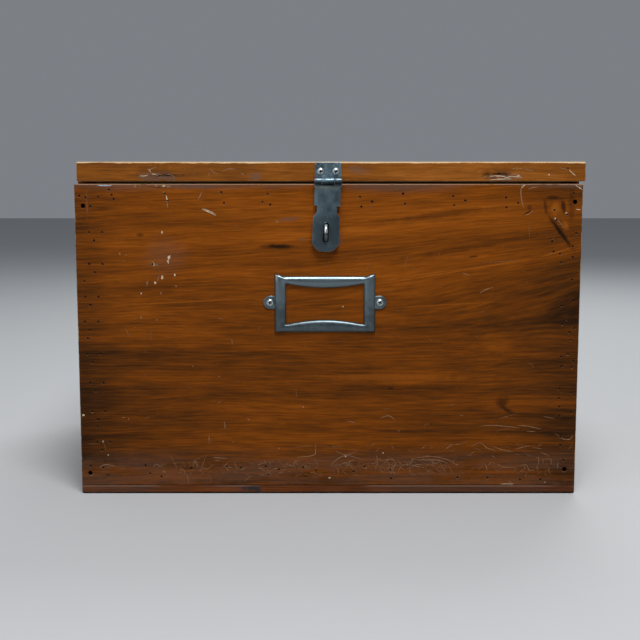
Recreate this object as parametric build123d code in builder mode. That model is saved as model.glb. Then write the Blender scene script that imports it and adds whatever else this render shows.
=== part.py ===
# A small wooden file chest: a nailed box of boards with a full-width lid.  Two butt hinges on the
# back rim carry the lid, a hasp on its front edge drops over a staple, and a pressed label holder
# is screwed to the front.
# Millimetres.  +X is to the right and +Z up, the front faces -Y, and the origin is the middle of
# the underside.
from build123d import *

import os
from math import cos, radians, sin

# Case boards
case_width = 475.0
case_depth = 366.0
wall_height = 288.6
board_thick = 18.0
base_thick = 8.0
arris_radius = 1.2
rim_bevel = 0.6
base_arris_radius = 1.8

# Inner framing
post_side = 19.0
cleat_thick = 12.0
cleat_height = 22.0
batten_thick = 12.0
batten_drop = 26.0

# Lid
lid_thick = 18.0
lid_offset = 2.3
lid_corner_radius = 2.2
lid_edge_radius = 1.4
lid_under_bevel = 0.7

# Nails: square brads, set a little below the surface
nail_width = 1.6
nail_set = 0.7
nail_length = 27.0
side_nail_margin = 5.0
base_nail_length = 20.0

# Butt hinges
hinge_margin = 62.5
hinge_length = 50.0
hinge_leaf_reach = 16.5
hinge_leaf_thick = 1.2
hinge_leaf_gap = 0.1
hinge_pin_radius = 1.3
hinge_knuckle_radius = 2.5
hinge_stand_off = 0.5
hinge_knuckles = 3
hinge_screws = 2
hinge_screw_pitch = 30.0
knuckle_gap = 0.15

# Screws, bores, knuckles and wire have few sides, since there are many of them and all are small.
# The pins are round, and a bore that turns on one has its flats pin_clearance away from it.
screw_sides = 12
knuckle_sides = 24
wire_sides = 8
pin_clearance = 0.05

# Countersunk screws of the hinges and the staple
flat_head_radius = 2.25
flat_shank_radius = 1.25
flat_head_height = 1.2
flat_head_edge = 0.05
flat_screw_length = 14.0

# Pan head screws of the hasp and the label holder
pan_head_radius = 3.35
pan_head_height = 2.0
pan_head_edge = 0.6
pan_crown_radius = 1.9
pan_shank_radius = 1.6
pan_screw_length = 15.0
pan_hole_clearance = 0.2

# Long screws sunk in the front corners
corner_screw_radius = 2.2
corner_screw_sink = 1.4
corner_screw_length = 28.0
top_left_screw_inset = 8.0
top_left_screw_drop = 20.2
top_right_screw_inset = 7.2
top_right_screw_drop = 16.6
bottom_left_screw_inset = 8.3
bottom_left_screw_rise = 12.4
bottom_right_screw_inset = 10.2
bottom_right_screw_rise = 16.1

# Hasp
hasp_offset = -0.4
hasp_rise = 1.4
hasp_sheet = 1.5
leaf_width = 24.5
leaf_top_margin = 0.5
leaf_screw_pitch = 14.2
leaf_screw_drop = 8.9
hasp_knuckle_radius = 3.3
hasp_knuckle_width = 25.4
hasp_middle_knuckle = 11.9
hasp_pin_radius = 1.5
strap_skew = 2.5
strap_width = 24.3
strap_stand_off = 2.0
strap_start = 3.9
strap_lap = 1.5
strap_press = 1.5
strap_bevel = 3.9
strap_neck_width = 18.6
strap_notch_start = 23.0
strap_notch_slope = 1.6
strap_notch_end = 28.8
strap_shoulder = 4.7
strap_lower_width = 25.0
strap_length = 65.4
strap_tip_drop = 6.4
strap_tip_width = 12.6
strap_tip_radius = 6.5
strap_slot_place = 47.9
strap_slot_length = 19.2
strap_slot_width = 5.9

# Staple
staple_sheet = 1.2
staple_plate_width = 22.0
staple_plate_height = 29.5
staple_plate_corner = 2.0
staple_wire = 3.5
staple_height = 16.5
staple_reach = 15.0
staple_bend = 5.0
staple_screw_margin = 3.4

# Label holder
holder_offset = -3.4
holder_rise = 183.9
holder_width = 95.0
holder_height = 53.2
holder_relief = 3.4
holder_edge = 0.3
holder_side_bar = 10.9
holder_top_bar = 7.4
holder_top_bar_middle = 11.1
holder_bottom_bar = 7.7
holder_bottom_bar_middle = 11.9
horn_width = 7.0
horn_rise = 1.9
horn_relief = 2.4
ear_radius = 6.3
ear_thick = 1.2
ear_offset = 4.4
ear_rise = 1.7
card_slot_depth = 1.0
card_margin = 3.0

# Levels and faces that the pieces share
rim = base_thick + wall_height
lid_gap = 2 * hinge_leaf_thick + hinge_leaf_gap
lid_under = rim + lid_gap
lid_top = lid_under + lid_thick
half_width = case_width / 2
half_depth = case_depth / 2
inner_x = half_width - board_thick
inner_y = half_depth - board_thick
post_x = inner_x - post_side / 2
post_y = inner_y - post_side / 2
framing_width = 2 * (inner_x - post_side)
framing_depth = 2 * (inner_y - post_side)
front_face = Plane.XZ.offset(half_depth)
back_face = Plane.XZ.offset(-half_depth)

os.makedirs("parts", exist_ok=True)


def keep(piece, name):
    """Label a finished piece and write its file."""
    piece.part.label = name
    export_step(piece.part, f"parts/{name}.step")


# Nail places
# The front ones are as they lie on the old panel.  Each is (distance from that side edge, height),
# measured on a wall of column_span, and they spread with the wall.
column_span = 290.0
row_span = 475.0
trio = [(0, 0), (12.4, 0), (4.7, -7.8)]
left_trios = [
    (13.0, 245), (12.5, 215), (8.0, 184), (7.0, 160),
    (8.5, 129), (10.7, 101), (12.0, 73), (15.6, 43),
]
left_singles = [
    (5.0, 279), (10.5, 277.5), (22.6, 278), (35.0, 280), (32.7, 284.8), (14.9, 269.4),
    (7.5, 199), (9.5, 144), (16.0, 58), (8.7, 19.4), (20.8, 18), (25.3, 10.4),
]
right_singles = [
    (8.5, 281.4), (26.2, 265.8), (14.4, 262), (24.5, 256.8), (5.2, 243.9), (28.0, 236.3),
    (8.0, 231.5), (26.0, 226.7), (20.1, 224.6), (8.2, 221.5), (18.6, 216.3), (8.1, 200),
    (6.3, 180.2), (17.2, 175.5), (16.2, 157.5), (4.6, 153.9), (9.3, 150), (7.6, 142.7),
    (16.3, 126.4), (10.1, 128.8), (4.8, 122), (15.4, 117.3), (5.9, 116.3), (17.2, 95.3),
    (6.1, 91.5), (17.2, 86.2), (16.7, 77.8), (5.4, 72.8), (16.3, 68.8), (15.1, 48.1),
    (14.6, 39.9), (11.3, 25.1),
]
# The rows are (place along a wall of row_span, drop below the rim or rise above the base)
top_row = [
    (-200.9, 13.8), (-152.9, 8.6), (-150.4, 15.3), (-100.2, 7.8), (-97.6, 17.5), (-61.6, 16.7),
    (-56.9, 9.1), (-54.5, 19.0), (29.2, 11.8), (30.8, 20.8), (40.6, 16.1), (69.5, 9.1),
    (71.5, 18.2), (116.3, 11.2), (117.3, 19.5), (127.6, 15.3), (165.6, 12.6), (166.2, 21.8),
    (177.0, 17.4),
]
bottom_row = [
    (-176.1, 19.8), (-171.6, 11.9), (-160.7, 8.9), (-131.7, 16.8), (-98.0, 18.8), (-84.5, 17.8),
    (-60.4, 18.8), (-57.6, 10.9), (-47.9, 15.8), (-23.9, 17.8), (-22.0, 8.9), (-12.3, 14.8),
    (24.3, 13.8), (34.8, 18.8), (59.9, 15.8), (60.4, 6.9), (124.5, 7.9), (153.4, 7.9),
    (184.8, 5.9), (204.5, 5.9),
]


def column_height(height):
    """A height on the wall, spread with it."""
    return base_thick + height * wall_height / column_span


def row_place(place):
    """A place along the wall, spread with it."""
    return place * case_width / row_span


front_nail_places = [
    (-half_width + inset + dx, column_height(height + dz))
    for inset, height in left_trios
    for dx, dz in trio
]
front_nail_places += [(-half_width + inset, column_height(z)) for inset, z in left_singles]
front_nail_places += [(half_width - inset, column_height(z)) for inset, z in right_singles]
front_nail_places += [(row_place(x), rim - drop) for x, drop in top_row]
front_nail_places += [(row_place(x), base_thick + rise) for x, rise in bottom_row]

# The hidden walls are nailed in even rows, set so that no two nails meet inside the wood
corner_inset = board_thick / 2
column_steps = 5
back_row_steps = 5
base_row_steps = 4
side_nail_y = inner_y - post_side + side_nail_margin
back_nail_places = [
    (side * (half_width - corner_inset), column_height(column_span * (i + 0.5) / column_steps))
    for side in (-1, 1)
    for i in range(column_steps)
]
back_nail_places += [
    (framing_width * ((i + 0.5) / back_row_steps - 0.5), base_thick + cleat_height / 2)
    for i in range(back_row_steps)
]
side_nail_places = [
    (side * side_nail_y, column_height(column_span * (i + 0.5) / column_steps))
    for side in (-1, 1)
    for i in range(column_steps)
]
base_nail_places = [
    (framing_width * ((i + 0.5) / base_row_steps - 0.5), side * (half_depth - board_thick / 2))
    for side in (-1, 1)
    for i in range(base_row_steps)
]

with BuildPart() as front_nails:
    with BuildSketch(front_face.offset(-nail_set)):
        with Locations(*front_nail_places):
            Rectangle(nail_width, nail_width)
    extrude(amount=-nail_length)

with BuildPart() as back_nails:
    with BuildSketch(back_face.offset(nail_set)):
        with Locations(*back_nail_places):
            Rectangle(nail_width, nail_width)
    extrude(amount=nail_length)

with BuildPart() as side_nails:
    for side in (-1, 1):
        with BuildSketch(Plane.YZ.offset(side * (half_width - nail_set))):
            with Locations(*side_nail_places):
                Rectangle(nail_width, nail_width)
        extrude(amount=-side * nail_length)

with BuildPart() as base_nails:
    with BuildSketch(Plane.XY.offset(nail_set)):
        with Locations(*base_nail_places):
            Rectangle(nail_width, nail_width)
    extrude(amount=base_nail_length)

keep(front_nails, "front_nails")
keep(back_nails, "back_nails")
keep(side_nails, "side_nails")
keep(base_nails, "base_nails")

# Screws sunk in the front corners
corner_screw_places = [
    (-half_width + top_left_screw_inset, rim - top_left_screw_drop),
    (half_width - top_right_screw_inset, rim - top_right_screw_drop),
    (-half_width + bottom_left_screw_inset, base_thick + bottom_left_screw_rise),
    (half_width - bottom_right_screw_inset, base_thick + bottom_right_screw_rise),
]
with BuildPart() as front_corner_screws:
    with BuildSketch(front_face.offset(-corner_screw_sink)):
        with Locations(*corner_screw_places):
            RegularPolygon(corner_screw_radius, screw_sides)
    extrude(amount=-corner_screw_length)
keep(front_corner_screws, "front_corner_screws")

# Walls and base
with BuildPart() as front_panel:
    with BuildSketch(Plane.XY.offset(base_thick)):
        with Locations((0, -half_depth + board_thick / 2)):
            Rectangle(case_width, board_thick)
    extrude(amount=wall_height)
    outer_edges = front_panel.edges().group_by(Axis.Y)[0]
    fillet(outer_edges.filter_by(Axis.Z), arris_radius)
    chamfer(front_panel.faces().sort_by(Axis.Z)[-1].edges().sort_by(Axis.Y)[0], rim_bevel)
    with BuildSketch(front_face):
        with Locations(*front_nail_places):
            Rectangle(nail_width, nail_width)
    extrude(amount=-nail_set, mode=Mode.SUBTRACT)
    with BuildSketch(front_face):
        with Locations(*corner_screw_places):
            RegularPolygon(corner_screw_radius, screw_sides)
    extrude(amount=-corner_screw_sink, mode=Mode.SUBTRACT)
keep(front_panel, "front_panel")

with BuildPart() as back_panel:
    with BuildSketch(Plane.XY.offset(base_thick)):
        with Locations((0, half_depth - board_thick / 2)):
            Rectangle(case_width, board_thick)
    extrude(amount=wall_height)
    outer_edges = back_panel.edges().group_by(Axis.Y)[-1]
    fillet(outer_edges.filter_by(Axis.Z), arris_radius)
    with BuildSketch(back_face):
        with Locations(*back_nail_places):
            Rectangle(nail_width, nail_width)
    extrude(amount=nail_set, mode=Mode.SUBTRACT)
keep(back_panel, "back_panel")

# The sides rise past the rim and carry the closed lid
for name, side in (("left_side", -1), ("right_side", 1)):
    with BuildPart() as side_board:
        with BuildSketch(Plane.XY.offset(base_thick)):
            with Locations((side * (half_width - board_thick / 2), 0)):
                Rectangle(board_thick, 2 * inner_y)
        extrude(amount=wall_height + lid_gap)
        with BuildSketch(Plane.YZ.offset(side * half_width)):
            with Locations(*side_nail_places):
                Rectangle(nail_width, nail_width)
        extrude(amount=-side * nail_set, mode=Mode.SUBTRACT)
    keep(side_board, name)

with BuildPart() as base_board:
    with BuildSketch():
        Rectangle(case_width, case_depth)
    extrude(amount=base_thick)
    chamfer(base_board.edges().filter_by(Axis.Z), arris_radius)
    fillet(base_board.faces().sort_by(Axis.Z)[0].edges(), base_arris_radius)
    with BuildSketch():
        with Locations(*base_nail_places):
            Rectangle(nail_width, nail_width)
    extrude(amount=nail_set, mode=Mode.SUBTRACT)
keep(base_board, "base_board")

# Corner posts, bottom cleats and top battens: the posts and the battens also reach the lid
for depth_name, depth_side in (("front", -1), ("back", 1)):
    for width_name, width_side in (("left", -1), ("right", 1)):
        with BuildPart() as corner_post:
            with BuildSketch(Plane.XY.offset(base_thick)):
                with Locations((width_side * post_x, depth_side * post_y)):
                    Rectangle(post_side, post_side)
            extrude(amount=wall_height + lid_gap)
        keep(corner_post, f"corner_post_{depth_name}_{width_name}")

    with BuildPart() as cleat:
        with BuildSketch(Plane.XY.offset(base_thick)):
            with Locations((0, depth_side * (inner_y - cleat_thick / 2))):
                Rectangle(framing_width, cleat_thick)
        extrude(amount=cleat_height)
    keep(cleat, f"bottom_cleat_{depth_name}")

    with BuildPart() as batten:
        with BuildSketch(Plane.XY.offset(rim - batten_drop)):
            with Locations((0, depth_side * (inner_y - batten_thick / 2))):
                Rectangle(framing_width, batten_thick)
        extrude(amount=batten_drop + lid_gap)
    keep(batten, f"top_batten_{depth_name}")

for name, side in (("left", -1), ("right", 1)):
    with BuildPart() as side_cleat:
        with BuildSketch(Plane.XY.offset(base_thick)):
            with Locations((side * (inner_x - cleat_thick / 2), 0)):
                Rectangle(cleat_thick, framing_depth)
        extrude(amount=cleat_height)
    keep(side_cleat, f"bottom_cleat_{name}")

# Lid: one board, a little off centre as it has settled on its hinges
with BuildPart() as lid_board:
    with BuildSketch(Plane.XY.offset(lid_under)):
        with Locations((lid_offset, 0)):
            Rectangle(case_width, case_depth)
    extrude(amount=lid_thick)
    fillet(lid_board.edges().filter_by(Axis.Z), lid_corner_radius)
    fillet(lid_board.faces().sort_by(Axis.Z)[-1].edges(), lid_edge_radius)
    chamfer(lid_board.faces().sort_by(Axis.Z)[0].edges(), lid_under_bevel)
keep(lid_board, "lid_board")

# Screw patterns, point down: a flat one with the top of its head at the origin, and a pan head
# one with its seat there
with BuildPart() as flat_screw:
    with BuildSketch():
        RegularPolygon(flat_head_radius, screw_sides, major_radius=False)
    extrude(amount=-flat_head_height)
    chamfer(
        flat_screw.faces().sort_by(Axis.Z)[0].edges(),
        flat_head_height - flat_head_edge,
        flat_head_radius - flat_shank_radius,
    )
    with BuildSketch(Plane.XY.offset(-flat_screw_length)):
        RegularPolygon(flat_shank_radius, screw_sides, major_radius=False)
    extrude(amount=flat_screw_length - flat_head_height)

with BuildPart() as pan_screw:
    with BuildSketch():
        RegularPolygon(pan_head_radius, screw_sides, major_radius=False)
    extrude(amount=pan_head_height)
    chamfer(
        pan_screw.faces().sort_by(Axis.Z)[-1].edges(),
        pan_head_height - pan_head_edge,
        pan_head_radius - pan_crown_radius,
    )
    with BuildSketch():
        RegularPolygon(pan_shank_radius, screw_sides, major_radius=False)
    extrude(amount=-pan_screw_length)

# Butt hinges: the leaves lie on the rim and under the lid, the knuckles stand behind the back
hinge_y = half_depth + hinge_stand_off + hinge_knuckle_radius
hinge_z = rim + lid_gap / 2
leaf_edge = hinge_y - hinge_leaf_reach
leaf_clear = hinge_y - hinge_knuckle_radius - 2 * knuckle_gap
screw_y = (leaf_edge + leaf_clear) / 2
knuckle_length = hinge_length / hinge_knuckles


def hinge_leaf(start, sign, clearance):
    """One leaf of a hinge from start along X: sign -1 for the case, 1 for the lid."""
    low = hinge_z + sign * hinge_leaf_gap / 2
    high = low + sign * hinge_leaf_thick
    middle = (low + high) / 2
    with BuildPart() as leaf:
        with BuildSketch(Plane.YZ.offset(start)):
            with Locations(((leaf_edge + leaf_clear) / 2, middle)):
                Rectangle(leaf_clear - leaf_edge, hinge_leaf_thick)
        extrude(amount=hinge_length)
        for i in range(0 if sign < 0 else 1, hinge_knuckles, 2):
            with BuildSketch(Plane.YZ.offset(start + i * knuckle_length + knuckle_gap)):
                with Locations((hinge_y, hinge_z)):
                    RegularPolygon(hinge_knuckle_radius, knuckle_sides)
                with Locations(((leaf_clear + hinge_y) / 2, middle)):
                    Rectangle(hinge_y - leaf_clear, hinge_leaf_thick)
            extrude(amount=knuckle_length - 2 * knuckle_gap)
        with BuildSketch(Plane.YZ.offset(start)):
            with Locations((hinge_y, hinge_z)):
                RegularPolygon(hinge_pin_radius + clearance, screw_sides, major_radius=False)
        extrude(amount=hinge_length, mode=Mode.SUBTRACT)
        with Locations(*[place(low) for place in hinge_screw_places(start, sign)]):
            add(flat_screw.part, mode=Mode.SUBTRACT)
    return leaf


def hinge_screw_places(start, sign):
    """The screws of one leaf, heads on its inner face, as functions of that face's height."""
    turn = 180 if sign > 0 else 0
    first = start + hinge_length / 2 - hinge_screw_pitch * (hinge_screws - 1) / 2
    return [
        lambda level, i=i: Location((first + i * hinge_screw_pitch, screw_y, level), (turn, 0, 0))
        for i in range(hinge_screws)
    ]


case_screw_places = []
lid_screw_places = []
for name, side in (("left", -1), ("right", 1)):
    start = side * (half_width - hinge_margin - hinge_length / 2) - hinge_length / 2
    keep(hinge_leaf(start, -1, 0.0), f"hinge_{name}_case_leaf")
    keep(hinge_leaf(start, 1, pin_clearance), f"hinge_{name}_lid_leaf")
    with BuildPart() as hinge_pin:
        with BuildSketch(Plane.YZ.offset(start)):
            with Locations((hinge_y, hinge_z)):
                Circle(hinge_pin_radius)
        extrude(amount=hinge_length)
    keep(hinge_pin, f"hinge_{name}_pin")
    case_screw_places += [
        place(hinge_z - hinge_leaf_gap / 2) for place in hinge_screw_places(start, -1)
    ]
    lid_screw_places += [
        place(hinge_z + hinge_leaf_gap / 2) for place in hinge_screw_places(start, 1)
    ]

with BuildPart() as hinge_case_screws:
    with Locations(*case_screw_places):
        add(flat_screw.part)
keep(hinge_case_screws, "hinge_case_screws")

with BuildPart() as hinge_lid_screws:
    with Locations(*lid_screw_places):
        add(flat_screw.part)
keep(hinge_lid_screws, "hinge_lid_screws")

# Hasp: the leaf is screwed to the lid's front edge, and the strap hangs from it on the pin
hasp_y = -half_depth - hasp_knuckle_radius
hasp_z = rim + lid_gap / 2 + hasp_rise
hasp_start = hasp_offset - hasp_knuckle_width / 2
middle_start = hasp_offset - hasp_middle_knuckle / 2
outer_knuckle = (hasp_knuckle_width - hasp_middle_knuckle) / 2
leaf_bottom = hasp_z + hasp_knuckle_radius + 2 * knuckle_gap
leaf_top = lid_top - leaf_top_margin
leaf_face = front_face.offset(hasp_sheet)
leaf_screw_places = [
    (hasp_offset - leaf_screw_pitch / 2, lid_top - leaf_screw_drop),
    (hasp_offset + leaf_screw_pitch / 2, lid_top - leaf_screw_drop),
]

with BuildPart() as hasp_leaf:
    with BuildSketch(front_face):
        with Locations((hasp_offset, (leaf_top + leaf_bottom) / 2)):
            Rectangle(leaf_width, leaf_top - leaf_bottom)
    extrude(amount=hasp_sheet)
    fillet(hasp_leaf.edges().filter_by(Axis.Y).group_by(Axis.Z)[-1], hasp_sheet)
    with BuildSketch(Plane.YZ.offset(middle_start + knuckle_gap)):
        with Locations((hasp_y, hasp_z)):
            RegularPolygon(hasp_knuckle_radius, knuckle_sides)
        with Locations((-half_depth - hasp_sheet / 2, (hasp_z + leaf_bottom) / 2)):
            Rectangle(hasp_sheet, leaf_bottom - hasp_z)
    extrude(amount=hasp_middle_knuckle - 2 * knuckle_gap)
    with BuildSketch(Plane.YZ.offset(middle_start)):
        with Locations((hasp_y, hasp_z)):
            RegularPolygon(hasp_pin_radius, screw_sides, major_radius=False)
    extrude(amount=hasp_middle_knuckle, mode=Mode.SUBTRACT)
    with BuildSketch(front_face):
        with Locations(*leaf_screw_places):
            RegularPolygon(pan_shank_radius + pan_hole_clearance, screw_sides)
    extrude(amount=hasp_sheet, mode=Mode.SUBTRACT)
keep(hasp_leaf, "hasp_leaf")

with BuildPart() as hasp_pin:
    with BuildSketch(Plane.YZ.offset(hasp_start)):
        with Locations((hasp_y, hasp_z)):
            Circle(hasp_pin_radius)
    extrude(amount=hasp_knuckle_width)
keep(hasp_pin, "hasp_pin")

with BuildPart() as hasp_leaf_screws:
    with Locations(*[leaf_face.location * Location((x, z, 0)) for x, z in leaf_screw_places]):
        add(pan_screw.part)
keep(hasp_leaf_screws, "hasp_leaf_screws")

# The strap is bent a little to the left, so it is drawn on a plane turned by strap_skew.
# On that plane Y is the distance above the pin, and its three levels are the back of the
# edges, the front of the edges (also the back of the pressed part) and the front.
skew = radians(strap_skew)
strap_back = Plane(
    origin=(hasp_offset, -half_depth - strap_stand_off, hasp_z),
    x_dir=(cos(skew), 0, -sin(skew)),
    z_dir=(0, -1, 0),
)
strap_middle = strap_back.offset(hasp_sheet)
strap_pressed = strap_back.offset(strap_press)
pan_length = strap_notch_start - strap_start
face_width = strap_width - 2 * strap_bevel
face_length = pan_length - strap_bevel
shoulder_end = strap_notch_end + strap_shoulder
tip_start = strap_length - strap_tip_drop

with BuildPart() as hasp_strap:
    with BuildSketch(strap_back):
        with Locations((0, -strap_start - pan_length / 2)):
            Rectangle(strap_width, pan_length)
    extrude(amount=hasp_sheet)
    # The upper part is pressed outward, with sloping sides and top, and is hollow behind
    for level, mode in ((strap_middle, Mode.ADD), (strap_back, Mode.SUBTRACT)):
        with BuildSketch(level):
            with Locations((0, -strap_start - pan_length / 2)):
                Rectangle(strap_width, pan_length)
        with BuildSketch(level.offset(strap_press)):
            with Locations((0, -strap_notch_start + face_length / 2)):
                Rectangle(face_width, face_length)
        loft(mode=mode)
    with BuildSketch(strap_pressed) as strap_outline:
        with BuildLine():
            half_outline = Polyline(
                (0, -strap_notch_start + face_length / 2),
                (face_width / 2, -strap_notch_start + face_length / 2),
                (face_width / 2, -strap_notch_start),
                (strap_neck_width / 2, -strap_notch_start - strap_notch_slope),
                (strap_neck_width / 2, -strap_notch_end),
                (strap_lower_width / 2, -shoulder_end),
                (strap_lower_width / 2, -tip_start),
                (strap_tip_width / 2, -strap_length),
                (0, -strap_length),
            )
            mirror(half_outline, about=Plane.YZ)
        make_face()
        fillet(strap_outline.vertices().group_by(Axis.Y)[0:2], strap_tip_radius)
        with Locations((0, -strap_slot_place)):
            SlotOverall(strap_slot_length, strap_slot_width, rotation=90, mode=Mode.SUBTRACT)
    extrude(amount=hasp_sheet)
    for knuckle_start in (hasp_start, hasp_start + hasp_knuckle_width - outer_knuckle):
        with BuildSketch(Plane.YZ.offset(knuckle_start)):
            with Locations((hasp_y, hasp_z)):
                RegularPolygon(hasp_knuckle_radius, knuckle_sides)
            with Locations((-half_depth - strap_stand_off - hasp_sheet / 2, hasp_z)):
                Rectangle(hasp_sheet, strap_start + strap_lap, align=(Align.CENTER, Align.MAX))
        extrude(amount=outer_knuckle)
    with BuildSketch(Plane.YZ.offset(hasp_start)):
        with Locations((hasp_y, hasp_z)):
            RegularPolygon(hasp_pin_radius + pin_clearance, screw_sides, major_radius=False)
    extrude(amount=hasp_knuckle_width, mode=Mode.SUBTRACT)
keep(hasp_strap, "hasp_strap")

# Staple: a wire loop riveted through a plate behind the strap
staple_x = hasp_offset - strap_slot_place * sin(skew)
staple_z = hasp_z - strap_slot_place * cos(skew)
staple_screw_drop = staple_plate_height / 2 - staple_screw_margin
staple_face = front_face.offset(staple_sheet)
wire_radius = staple_wire / 2
leg_spread = staple_height / 2 - wire_radius

with BuildPart() as staple_plate:
    with BuildSketch(front_face):
        with Locations((staple_x, staple_z)):
            Rectangle(staple_plate_width, staple_plate_height)
        with Locations((staple_x, staple_z - leg_spread), (staple_x, staple_z + leg_spread)):
            RegularPolygon(wire_radius, wire_sides, mode=Mode.SUBTRACT)
    extrude(amount=staple_sheet)
    plate_corners = staple_plate.edges().filter_by(Axis.Y).group_by(Axis.X)
    chamfer(plate_corners[0] + plate_corners[-1], staple_plate_corner)
    with Locations(
        staple_face.location * Location((staple_x, staple_z - staple_screw_drop, 0)),
        staple_face.location * Location((staple_x, staple_z + staple_screw_drop, 0)),
    ):
        add(flat_screw.part, mode=Mode.SUBTRACT)
keep(staple_plate, "staple_plate")

with BuildPart() as staple_loop:
    with BuildLine(Plane.YZ.offset(staple_x)):
        FilletPolyline(
            (-half_depth, staple_z - leg_spread),
            (-half_depth - staple_reach + wire_radius, staple_z - leg_spread),
            (-half_depth - staple_reach + wire_radius, staple_z + leg_spread),
            (-half_depth, staple_z + leg_spread),
            radius=staple_bend,
        )
    with BuildSketch(front_face):
        with Locations((staple_x, staple_z - leg_spread)):
            RegularPolygon(wire_radius, wire_sides)
    sweep()
keep(staple_loop, "staple_loop")

with BuildPart() as staple_screws:
    with Locations(
        staple_face.location * Location((staple_x, staple_z - staple_screw_drop, 0)),
        staple_face.location * Location((staple_x, staple_z + staple_screw_drop, 0)),
    ):
        add(flat_screw.part)
keep(staple_screws, "staple_screws")

# Label holder: a pressed frame with rounded bars, a bowed window, two ears and a card slot
holder_plane = Plane(
    origin=(holder_offset, -half_depth, holder_rise),
    x_dir=(1, 0, 0),
    z_dir=(0, -1, 0),
)
bar_radius = holder_relief - holder_edge
holder_window_width = holder_width - 2 * holder_side_bar
window_top = holder_height / 2 - holder_top_bar
window_top_middle = holder_height / 2 - holder_top_bar_middle
window_bottom = holder_height / 2 - holder_bottom_bar
window_bottom_middle = holder_height / 2 - holder_bottom_bar_middle
ear_places = [
    (-holder_width / 2 - ear_offset, ear_rise),
    (holder_width / 2 + ear_offset, ear_rise),
]

with BuildPart() as label_holder:
    with BuildSketch(holder_plane):
        Rectangle(holder_width, holder_height)
        with BuildLine():
            ThreePointArc(
                (-holder_window_width / 2, -window_bottom),
                (0, -window_bottom_middle),
                (holder_window_width / 2, -window_bottom),
            )
            Line(
                (holder_window_width / 2, -window_bottom),
                (holder_window_width / 2, window_top),
            )
            ThreePointArc(
                (holder_window_width / 2, window_top),
                (0, window_top_middle),
                (-holder_window_width / 2, window_top),
            )
            Line(
                (-holder_window_width / 2, window_top),
                (-holder_window_width / 2, -window_bottom),
            )
        make_face(mode=Mode.SUBTRACT)
    extrude(amount=holder_relief)
    fillet(label_holder.faces().sort_by(Axis.Y)[0].edges(), bar_radius)
    for side in (-1, 1):
        with BuildSketch(holder_plane):
            with BuildLine():
                Polyline(
                    (side * holder_width / 2, 0),
                    (side * holder_width / 2, holder_height / 2 + horn_rise),
                    (side * (holder_width / 2 - horn_width / 2), holder_height / 2 + horn_rise),
                    (side * (holder_width / 2 - horn_width), holder_height / 2 - holder_edge),
                    (side * (holder_width / 2 - horn_width), 0),
                    close=True,
                )
            make_face()
        extrude(amount=horn_relief)
    with BuildSketch(holder_plane):
        for x, y in ear_places:
            with Locations((x, y)):
                Circle(ear_radius)
            with Locations(((x + (holder_width / 2 - ear_radius) * (1 if x > 0 else -1)) / 2, y)):
                Rectangle(2 * ear_radius, 2 * ear_radius)
    extrude(amount=ear_thick)
    with BuildSketch(holder_plane):
        with Locations((0, -window_bottom - card_margin)):
            Rectangle(
                holder_window_width + 2 * card_margin,
                holder_height,
                align=(Align.CENTER, Align.MIN),
            )
    extrude(amount=card_slot_depth, mode=Mode.SUBTRACT)
    with BuildSketch(holder_plane):
        with Locations(*ear_places):
            RegularPolygon(pan_shank_radius + pan_hole_clearance, screw_sides)
    extrude(amount=ear_thick, mode=Mode.SUBTRACT)
keep(label_holder, "label_holder")

with BuildPart() as label_holder_screws:
    with Locations(
        *[holder_plane.offset(ear_thick).location * Location((x, y, 0)) for x, y in ear_places]
    ):
        add(pan_screw.part)
keep(label_holder_screws, "label_holder_screws")
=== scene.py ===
from math import asin, cos, pi, radians, sin
from random import Random

import bmesh
import bpy
from bpy.props import FloatProperty, FloatVectorProperty, PointerProperty
from bpy.types import Operator, Panel, PropertyGroup
from mathutils import Matrix, Vector


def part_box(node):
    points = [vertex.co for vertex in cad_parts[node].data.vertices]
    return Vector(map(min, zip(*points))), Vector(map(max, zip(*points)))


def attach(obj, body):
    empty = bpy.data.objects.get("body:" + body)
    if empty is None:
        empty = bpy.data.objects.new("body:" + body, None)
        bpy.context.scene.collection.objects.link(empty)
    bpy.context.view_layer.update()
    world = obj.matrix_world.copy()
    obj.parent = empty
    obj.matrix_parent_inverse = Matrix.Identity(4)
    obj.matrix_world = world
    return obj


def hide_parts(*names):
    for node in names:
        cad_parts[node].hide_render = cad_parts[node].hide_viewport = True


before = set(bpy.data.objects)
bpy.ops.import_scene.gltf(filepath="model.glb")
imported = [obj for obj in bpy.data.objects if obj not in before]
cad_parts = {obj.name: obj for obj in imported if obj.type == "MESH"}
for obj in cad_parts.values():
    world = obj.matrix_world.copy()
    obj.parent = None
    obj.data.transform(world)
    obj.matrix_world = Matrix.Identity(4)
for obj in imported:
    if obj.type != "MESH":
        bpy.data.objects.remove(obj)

bl_info = {
    "name": "Small wooden file chest",
    "version": (1, 0, 0),
    "blender": (4, 5, 0),
    "location": "3D View > Sidebar > Chest",
    "description": "Dresses the CAD model of a nailed file chest in stained wood and worn steel",
    "category": "Object",
}

MM = 0.001

# The photograph's camera: its distance, height and place along the front in millimetres, how far it
# looks down, and its focal length and the middle of its picture in pixels
PHOTO_DISTANCE, PHOTO_HEIGHT, PHOTO_ASIDE = 1025.0, 298.0, -8.0
PHOTO_PITCH = radians(7.18)
PHOTO_FOCUS = 1092.0
PHOTO_MIDDLE = (320.0, 320.5)


# Settings


def colour(name, description, default):
    return FloatVectorProperty(
        name=name, description=description, default=default, subtype="COLOR", size=3, min=0, max=1
    )


def length(name, description, default):
    return FloatProperty(name=name, description=description, default=default, unit="LENGTH", min=0)


def amount(name, description, default):
    return FloatProperty(name=name, description=description, default=default, min=0)


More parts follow.
